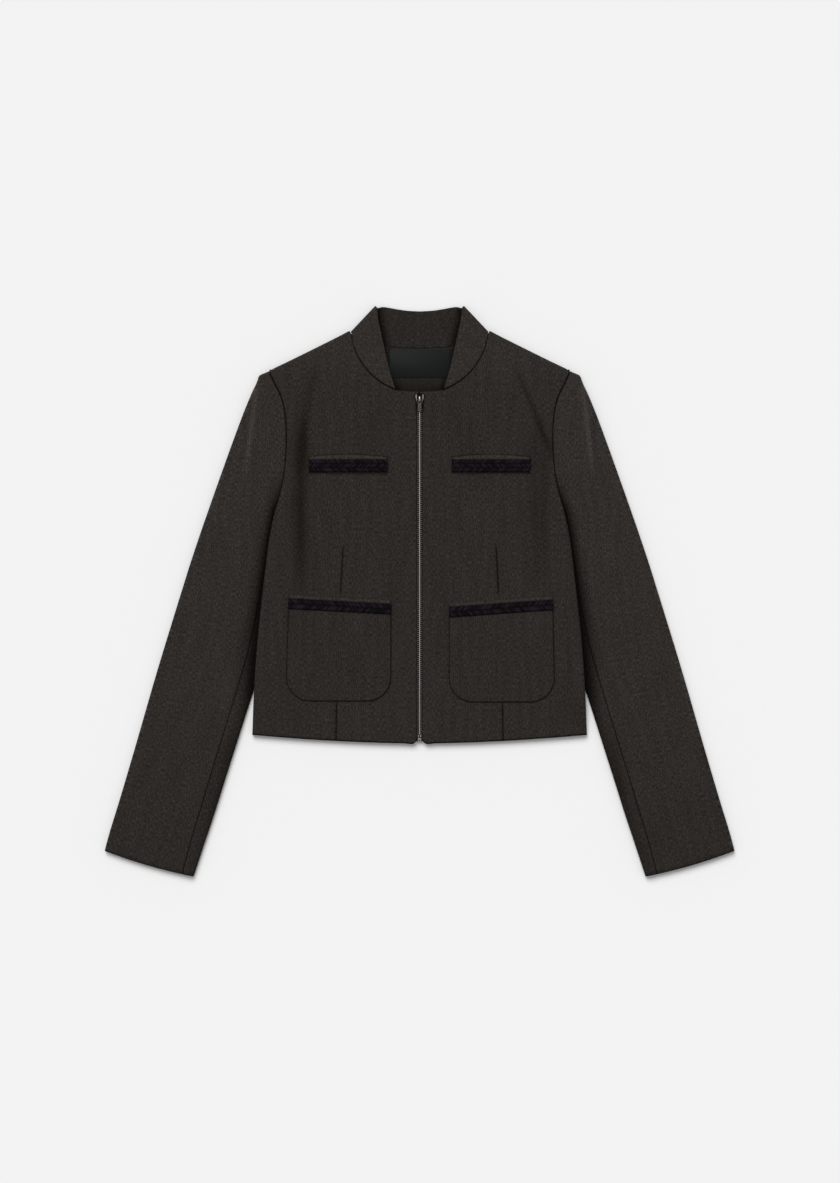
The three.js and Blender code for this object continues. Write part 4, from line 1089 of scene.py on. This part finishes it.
# %% Label
def satin(name):
    """Polyester satin: dark, smooth, with threads 0.35 mm apart that are drawn 1.4 mm apart."""
    material, tree, shader = new_material(name)
    place = add_node(tree, "ShaderNodeTexCoord").outputs["Object"]
    threads = add_node(
        tree, "ShaderNodeTexWave", {"bands_direction": "Y"}, Vector=place, Scale=720.0, Distortion=0.6
    ).outputs["Fac"]
    thread_hues = [(0.0, "#0f1212"), (1.0, "#181a1a")]
    colour = add_node(tree, "ShaderNodeValToRGB", stops=thread_hues, Fac=threads).outputs["Color"]
    tree.links.new(colour, shader.inputs["Base Color"])
    bump = add_node(
        tree, "ShaderNodeBump", Strength=0.15, Distance=0.0003, Height=threads
    ).outputs["Normal"]
    tree.links.new(bump, shader.inputs["Normal"])
    shader.inputs["Roughness"].default_value = 0.5
    shader.inputs["Specular IOR Level"].default_value = 0.09
    return material


label_satin = satin("polyester_satin")
LABEL = rounded_box(37.6, 265.0, 300.4, 2.2)
add_solid("label_satin", [stack(LABEL, [(0.2, 3.6), (0, 3.75), (0, 4.05), (0.35, 4.3)])],
          label_satin, ["neck_label"])

# %% [markdown]
# The zip's metal is brass that is nickel plated and then tumbled. Nickel is a warm grey. High places are
# painted brighter, a painted highlight, and hollows darker, a painted shade; this is what makes such small
# parts readable, so the colour goes from one to the other across the zip.

# %% Nickel plate
def mix_hex(a, b, t):
    """The sRGB hex colour a share t of the way from a to b."""
    parts = [round(mix(int(a[i:i + 2], 16), int(b[i:i + 2], 16), t)) for i in (1, 3, 5)]
    return "#" + "".join(f"{part:02x}" for part in parts)


# metres from the middle times this is a place on the colour ramp, which ends at 6.7 mm
RAMP_PER_METRE = 150.0


def nickel(name, shade_grey, highlight_grey, bands, crest=20.0):
    """Nickel plate: a warm grey metal, with a painted highlight on high places and painted shade in its
    hollows.

    bands are (distance from the middle in mm, share of painted highlight) pairs across the zip, and above
    the height crest, in mm, all of it takes the painted highlight.
    """
    material, tree, shader = new_material(name)
    place = add_node(tree, "ShaderNodeTexCoord").outputs["Object"]
    marks = add_node(
        tree, "ShaderNodeTexNoise", Vector=place, Scale=900.0, Detail=3.0
    ).outputs["Fac"]
    axes = add_node(tree, "ShaderNodeSeparateXYZ", Vector=place).outputs
    aside = add_node(tree, "ShaderNodeMath", {"operation": "ABSOLUTE"}, i0=axes["X"]).outputs[0]
    across = add_node(
        tree, "ShaderNodeMath", {"operation": "MULTIPLY"}, i0=aside, i1=RAMP_PER_METRE
    ).outputs[0]
    # the colour across the zip: painted highlight and painted shade in bands
    greys = [(mm * RAMP_PER_METRE / 1000, mix_hex(shade_grey, highlight_grey, share)) for mm, share in bands]
    banded = add_node(tree, "ShaderNodeValToRGB", stops=greys, Fac=across).outputs["Color"]
    # above the crest height the colour turns to the painted highlight
    raised = add_node(
        tree, "ShaderNodeMapRange", Value=axes["Z"], From_Min=crest / 1000, From_Max=(crest + 0.6) / 1000
    ).outputs["Result"]
    colour = add_node(
        tree, "ShaderNodeMix", {"data_type": "RGBA"}, i0=raised, i6=banded, i7=linear(highlight_grey)
    ).outputs[2]
    tree.links.new(colour, shader.inputs["Base Color"])
    rough = add_node(tree, "ShaderNodeMapRange", Value=marks, To_Min=0.28, To_Max=0.5).outputs["Result"]
    tree.links.new(rough, shader.inputs["Roughness"])
    bump = add_node(tree, "ShaderNodeBump", Strength=0.2, Distance=0.0001, Height=marks).outputs["Normal"]
    tree.links.new(bump, shader.inputs["Normal"])
    shader.inputs["Metallic"].default_value = 1.0
    return material


# the teeth meet in the middle, where a painted highlight makes them brightest; to the sides they take
# painted shade
zip_nickel = nickel(
    "nickel_plate", "#4d4844", "#cec5bf",
    [(0, 1), (0.5, 0.85), (0.95, 0.4), (2.4, 0.45), (2.8, 0.25), (3.1, 0.1)],
)
# the foot and its two stops: a painted highlight on top, and painted shade on the rim
foot_nickel = nickel(
    "nickel_plate_foot", "#37332f", "#aaa29c",
    [(0, 0.3), (0.5, 0.5), (1.0, 1), (1.7, 0.9), (2.2, 0.1)],
)
# the cast slider: painted shade but for its shoulders and its crown, which take a painted highlight
cast_nickel = nickel(
    "nickel_casting_painted_light", "#1c1a18", "#a9a19b",
    [(0, 0.05), (3.2, 0.05), (3.9, 0.8), (5.0, 0.9), (5.3, 0.3)], crest=9.6,
)
# the stamped tab: a darker plate, with painted shade at its edges
tab_nickel = nickel(
    "stamped_nickel_tab", "#211f1d", "#625b57", [(0, 0.8), (1.6, 0.9), (2.1, 0.5), (2.5, 0.1)],
)
print("metals:", zip_nickel.name, foot_nickel.name, cast_nickel.name, tab_nickel.name)

# %% [markdown]
# Each tooth is clamped round the corded edge of its tape, and its head fits between two
# teeth of the other side, so the teeth alternate. One tooth is made from a small outline,
# and whole arrays of shifted copies make the two rows. Instances would be lighter, but
# the export wants plain meshes.

# %% Teeth
TOOTH_PITCH = 2.5
TOOTH = np.array([
    (3.1, -0.45), (3.1, 0.45), (1.3, 0.45), (0.4, 0.6), (-0.5, 0.55), (-0.9, 0.3),
    (-0.9, -0.3), (-0.5, -0.55), (0.4, -0.6), (1.3, -0.45),
])
tooth_points, tooth_faces = stack(TOOTH, [(0.22, 4.5), (0, 4.75), (0, 6.45), (0.26, 6.9)])
ROW = np.arange(-177.4, 226.0, TOOTH_PITCH)


def tooth_row(side):
    """Copies of the tooth up one tape; the other side is turned half round and half a pitch up."""
    base = tooth_points * np.array([side, side, 1.0])
    shift = np.zeros((len(ROW), 1, 3))
    shift[:, 0, 1] = ROW + (0 if side > 0 else TOOTH_PITCH / 2)
    points = (base[None] + shift).reshape(-1, 3)
    faces = [[c + k * len(base) for c in face] for k in range(len(ROW)) for face in tooth_faces]
    return points, faces


add_solid("zip_teeth", [tooth_row(1), tooth_row(-1)], zip_nickel, ["zip_chain"])

# %% [markdown]
# The tapes are woven in a herringbone and thicken to a cord where the teeth sit. Only a
# sliver of them shows between the teeth and the fronts.

# %% Tapes
def tape_weave(name):
    """Woven polyester tape: a herringbone of fine ribs, 0.6 mm apart."""
    material, tree, shader = new_material(name)
    place = add_node(tree, "ShaderNodeTexCoord").outputs["Object"]
    ribs = add_node(
        tree, "ShaderNodeTexWave", {"bands_direction": "DIAGONAL"},
        Vector=place, Scale=520.0, Distortion=1.0,
    ).outputs["Fac"]
    yarns = [(0.0, "#131110"), (1.0, "#282523")]
    colour = add_node(tree, "ShaderNodeValToRGB", stops=yarns, Fac=ribs).outputs["Color"]
    tree.links.new(colour, shader.inputs["Base Color"])
    bump = add_node(tree, "ShaderNodeBump", Strength=0.4, Distance=0.0003, Height=ribs).outputs["Normal"]
    tree.links.new(bump, shader.inputs["Normal"])
    shader.inputs["Roughness"].default_value = 0.85
    return material


zip_tape_weave = tape_weave("woven_tape")
TAPE_BOTTOM, TAPE_TOP, TAPE_LOW, TAPE_HIGH = -186.4, 243.0, 4.9, 5.3
CORD_X, CORD_RADIUS = 2.7, 0.7
x = np.concatenate([np.linspace(2.0, 3.4, 12), np.linspace(3.8, 15.0, 12)])[None, :]
y = np.linspace(TAPE_BOTTOM, TAPE_TOP, 90)[:, None]
bead = np.sqrt(np.clip(1 - ((x - CORD_X) / CORD_RADIUS) ** 2, 0, 1)) * 0.55
for side, label in ((1, "left"), (-1, "right")):
    px, py = side * x + 0 * y, y + 0 * x
    over = np.stack([px, py, TAPE_HIGH + bead + 0 * y], -1)
    under = np.stack([px, py, TAPE_LOW - bead * 0.5 + 0 * y], -1)
    add_cloth(f"tape_{label}", over, under, np.stack([px, py], -1), 0 * px, zip_tape_weave,
              "zip_tape", [f"zip_tape_{label}"])

# %% [markdown]
# At the bottom a box holds both tapes, with a raised rib on it, and a small stop above it
# on each side keeps the slider from running into it.

# %% Foot of the zip
box_body = stack(rounded_box(2.5, -185.8, -181.6, 0.9), [(0.4, 4.0), (0, 4.4), (0, 6.7), (0.5, 7.3)])
box_rib = stack(rounded_box(1.1, -185.4, -182.6, 0.6), [(0, 7.2), (0, 7.45), (0.25, 7.55)])
stop = rounded_box(0.8, -180.9, -178.4, 0.4)
stop_levels = [(0.2, 4.4), (0, 4.6), (0, 7.05), (0.12, 7.2)]
end_stops = [stack(stop + [x, 0], stop_levels) for x in (-1.35, 1.35)]
add_solid("zip_foot", [box_body, box_rib] + end_stops, foot_nickel, ["zip_box"])

# %% [markdown]
# The slider is die cast: two plates joined by a wedge that parts the teeth, flanges that
# hold the chain, and a crown like a small bridge that the pull tab hangs from. It is
# shown at the top, where the zip is closed. Only the tab moves: it swings about the
# crown.

# %% Slider
# the pin that the tab swings on lies across the crown, here
PIN_Y, PIN_Z = 237.4, 10.0
PLATE = [
    (3.5, 231.7), (3.6, 234.6), (5.1, 240.2), (5.2, 242.4), (4.6, 243.8), (3.7, 244.2),
    (2.2, 242.7), (-2.2, 242.7), (-3.7, 244.2), (-4.6, 243.8), (-5.2, 242.4), (-5.1, 240.2),
    (-3.6, 234.6), (-3.5, 231.7), (-3.1, 231.2), (3.1, 231.2),
]
FLANGE = np.array([
    (3.5, 231.7), (3.6, 234.6), (5.1, 240.2), (5.2, 242.4),
    (4.6, 242.4), (4.5, 240.3), (3.1, 234.8), (3.0, 231.7),
])
WEDGE = [
    (-2.9, 242.6), (-1.2, 240.2), (0, 239.4), (1.2, 240.2), (2.9, 242.6), (1.6, 243.3), (-1.6, 243.3),
]
# the crown from the side, from the pin: along the zip, and up from the plate
CROWN_SIDE = [
    (-2.4, -0.3), (-1.6, -0.3), (-1.5, 1.4), (-1.1, 1.8), (1.5, 1.8), (2.3, 1.3), (2.5, -0.3), (4.3, -0.3),
    (4.1, 1.4), (3.1, 2.4), (1.2, 2.75), (-0.8, 2.75), (-1.8, 2.5), (-2.3, 1.8),
]
upper_plate = stack(PLATE, [(0.15, 8.4), (0, 8.5), (0, 9.0), (0.3, 9.25)])
lower_plate = stack(PLATE, [(0.3, 3.7), (0, 3.9), (0, 4.4), (0.15, 4.5)])
flange_up = stack(FLANGE, [(0.1, 7.3), (0, 7.4), (0, 8.6)])
flange_low = stack(FLANGE, [(0, 4.3), (0, 5.2), (0.1, 5.3)])
flip_x = np.array([-1.0, 1.0, 1.0])
flanges = [(points * k, faces if k[0] > 0 else [f[::-1] for f in faces])
           for points, faces in (flange_up, flange_low) for k in (np.ones(3), flip_x)]
wedge = stack(WEDGE, [(0, 4.2), (0, 8.8)])
crown_points, crown_faces = stack(CROWN_SIDE, [(0.25, -0.8), (0, -0.55), (0, 0.55), (0.25, 0.8)])
crown = (crown_points[:, [2, 0, 1]] + np.array([0, PIN_Y, 9.2]), crown_faces)
slide_parts = [upper_plate, lower_plate, wedge, crown] + flanges
add_solid("zip_slide", slide_parts, cast_nickel, ["zip_slider"])

# %% [markdown]
# A stamped plate has holes and round edges. A filled curve gives both at once: its inner
# outlines become holes, and its bevel rounds every edge. It is then turned into a mesh.

# %% Plates with holes
def plate_with_holes(name, outlines, half_thick, bevel):
    """A flat plate from closed outlines, the first its rim and the rest its holes, with round edges."""
    curve = bpy.data.curves.new(name, "CURVE")
    curve.dimensions = "2D"
    curve.fill_mode = "BOTH"
    curve.extrude, curve.bevel_depth, curve.bevel_resolution = half_thick - bevel, bevel, 2
    for outline in outlines:
        spline = curve.splines.new("POLY")
        spline.points.add(len(outline) - 1)
        flat = np.column_stack([outline, np.zeros(len(outline)), np.ones(len(outline))])
        spline.points.foreach_set("co", flat.ravel())
        spline.use_cyclic_u = True
    holder = bpy.data.objects.new(name, curve)
    mesh = bpy.data.meshes.new_from_object(holder)
    bpy.data.objects.remove(holder)
    bpy.data.curves.remove(curve)
    return mesh


def ring_outline(x, y, radius, count=28):
    """A circle in plan."""
    angle = np.linspace(0, 2 * np.pi, count, endpoint=False)
    return np.stack([x + radius * np.cos(angle), y + radius * np.sin(angle)], -1)


print("a ring has", len(ring_outline(0, 0, 1.0)), "points")

# %% [markdown]
# The tab hangs on the crown by its window and narrows a little in the middle, for the
# fingers. It rides on the part's own moving body, so it swings about the pin.

# %% Pull tab
# drawn from the pin, with its length along y below 0
side_y = np.linspace(0, 1, 12)
flank = 2.35 - 0.35 * np.sin(np.pi * side_y)
right_flank = np.stack([flank, mix(-12.8, -0.2, side_y)], -1)
half_turn = np.linspace(0, -np.pi, 14)
end = np.stack([2.3 * np.cos(half_turn), -12.8 + 1.75 * np.sin(half_turn)], -1)
shoulders = [(1.9, 0.45), (-1.9, 0.45)]
TAB = np.concatenate([right_flank, shoulders, right_flank[::-1] * [-1, 1], end[::-1][1:-1]])
WINDOW = rounded_box(1.3, -4.6, -0.55, 0.5)
tab_mesh = plate_with_holes("pull_tab", [TAB, WINDOW, ring_outline(0, -11.2, 1.2)], 0.5, 0.14)
tab_points = np.empty(len(tab_mesh.vertices) * 3)
tab_mesh.vertices.foreach_get("co", tab_points)
tab_faces = [list(face.vertices) for face in tab_mesh.polygons]
tab = (tab_points.reshape(-1, 3) + np.array([0, PIN_Y, PIN_Z]), tab_faces)
add_solid("pull_tab", [tab], tab_nickel, ["zip_pull"], "pull")

# %% [markdown]
# Every cloth piece's cut is listed with its size: the width and length of the flat piece, and its area
# where the cut is not a rectangle. The jacket is laid on its back, so each panel lies on the one below it.

LAID = {
    "back_cloth": ((0.415, 0.492), 0.1817, ["floor"]),
    "collar_cloth": ((0.395, 0.052), 0.0122, ["back_cloth"]),
    "facing_cloth": ((0.148, 0.09), 0.0122, ["back_cloth"]),
}
PAIRED = {
    "front_cloth": ((0.206, 0.513), 0.0852, ["back_cloth"]),
    "under_sleeve_cloth": ((0.15, 0.625), 0.0700, ["floor"]),
    "top_sleeve_cloth": ((0.12, 0.625), 0.0545, ["under_sleeve_cloth"]),
    "pocket_cloth": ((0.131, 0.132), 0.0163, ["front_cloth"]),
    "welt_cloth": ((0.098, 0.0228), 0.00213, ["front_cloth"]),
    "pocket_plait": ((0.1275, 0.013), None, ["pocket_cloth"]),
    "chest_plait": ((0.098, 0.0156), None, ["welt_cloth"]),
    "tape": ((0.0132, 0.4294), None, ["front_cloth"]),
}
for name, (flat, area, below) in PAIRED.items():
    for label in ("left", "right"):
        under = [other if other in LAID or other == "floor" else f"{other}_{label}" for other in below]
label = bpy.data.objects["label_satin"]
print("sheets:", len(LAID) + 2 * len(PAIRED) + 1)

# %% [markdown]
# The camera looks straight down on the jacket. A long lens from far away flattens it, as
# in a studio picture of clothes. Its height follows from the lens: a sensor 36 mm high
# has to see the height of the frame.

# %% Camera
# the picture is 1183 dots high, at 1.24 mm a dot
FRAME_HEIGHT = 1183 * 1.24 / 1000
LENS, SENSOR = 100.0, 36.0
STACK_TOP = STACK / 1000
scene = bpy.context.scene
scene.view_settings.view_transform = "Standard"
camera_data = bpy.data.cameras.new("camera")
camera_data.lens = LENS
camera_data.sensor_width = SENSOR
camera_data.clip_end = 50.0
camera = bpy.data.objects.new("camera", camera_data)
camera.location = (0.0005, -0.0004, STACK_TOP + LENS / SENSOR * FRAME_HEIGHT)
bpy.context.collection.objects.link(camera)
scene.camera = camera
print(f"camera height: {camera.location.z:.2f} m")

# %% [markdown]
# The floor is matt white paper. It lies a little under the jacket, so that the faces don't share one plane.

# %% Floor
FLOOR_Z = -0.0004
floor_mesh = bpy.data.meshes.new("floor")
corners = np.array([(-6, -6), (6, -6), (6, 6), (-6, 6)])
floor_mesh.from_pydata([(float(x), float(y), FLOOR_Z) for x, y in corners], [], [(0, 1, 2, 3)])
floor = bpy.data.objects.new("floor", floor_mesh)
bpy.context.collection.objects.link(floor)
# matt paper: pulp that scatters all its light, so no gloss at all
paper, tree, shader = new_material("matt_paper")
shader.inputs["Base Color"].default_value = linear("#f1f1f1")
shader.inputs["Roughness"].default_value = 1.0
shader.inputs["Specular IOR Level"].default_value = 0.0
floor_mesh.materials.append(paper)
print("floor:", paper.name)

# %% [markdown]
# The light is a plain studio: an even white room, and one very large soft box above and
# behind the collar. The box is a sun lamp with a wide angle, so its shadows are soft and
# the floor is equally bright everywhere.

# %% Light
world = bpy.data.worlds.new("studio")
world.use_nodes = True
world.node_tree.nodes["Background"].inputs["Color"].default_value = (1, 1, 1, 1)
world.node_tree.nodes["Background"].inputs["Strength"].default_value = 0.45
scene.world = world

key = bpy.data.lights.new("large_softbox", "SUN")
key.angle = np.radians(40)
key.energy = 2.26
key_holder = bpy.data.objects.new("large_softbox", key)
key_holder.rotation_euler = (np.radians(-36), np.radians(-14), 0)
bpy.context.collection.objects.link(key_holder)
print("soft box:", key.energy, "W/m2")
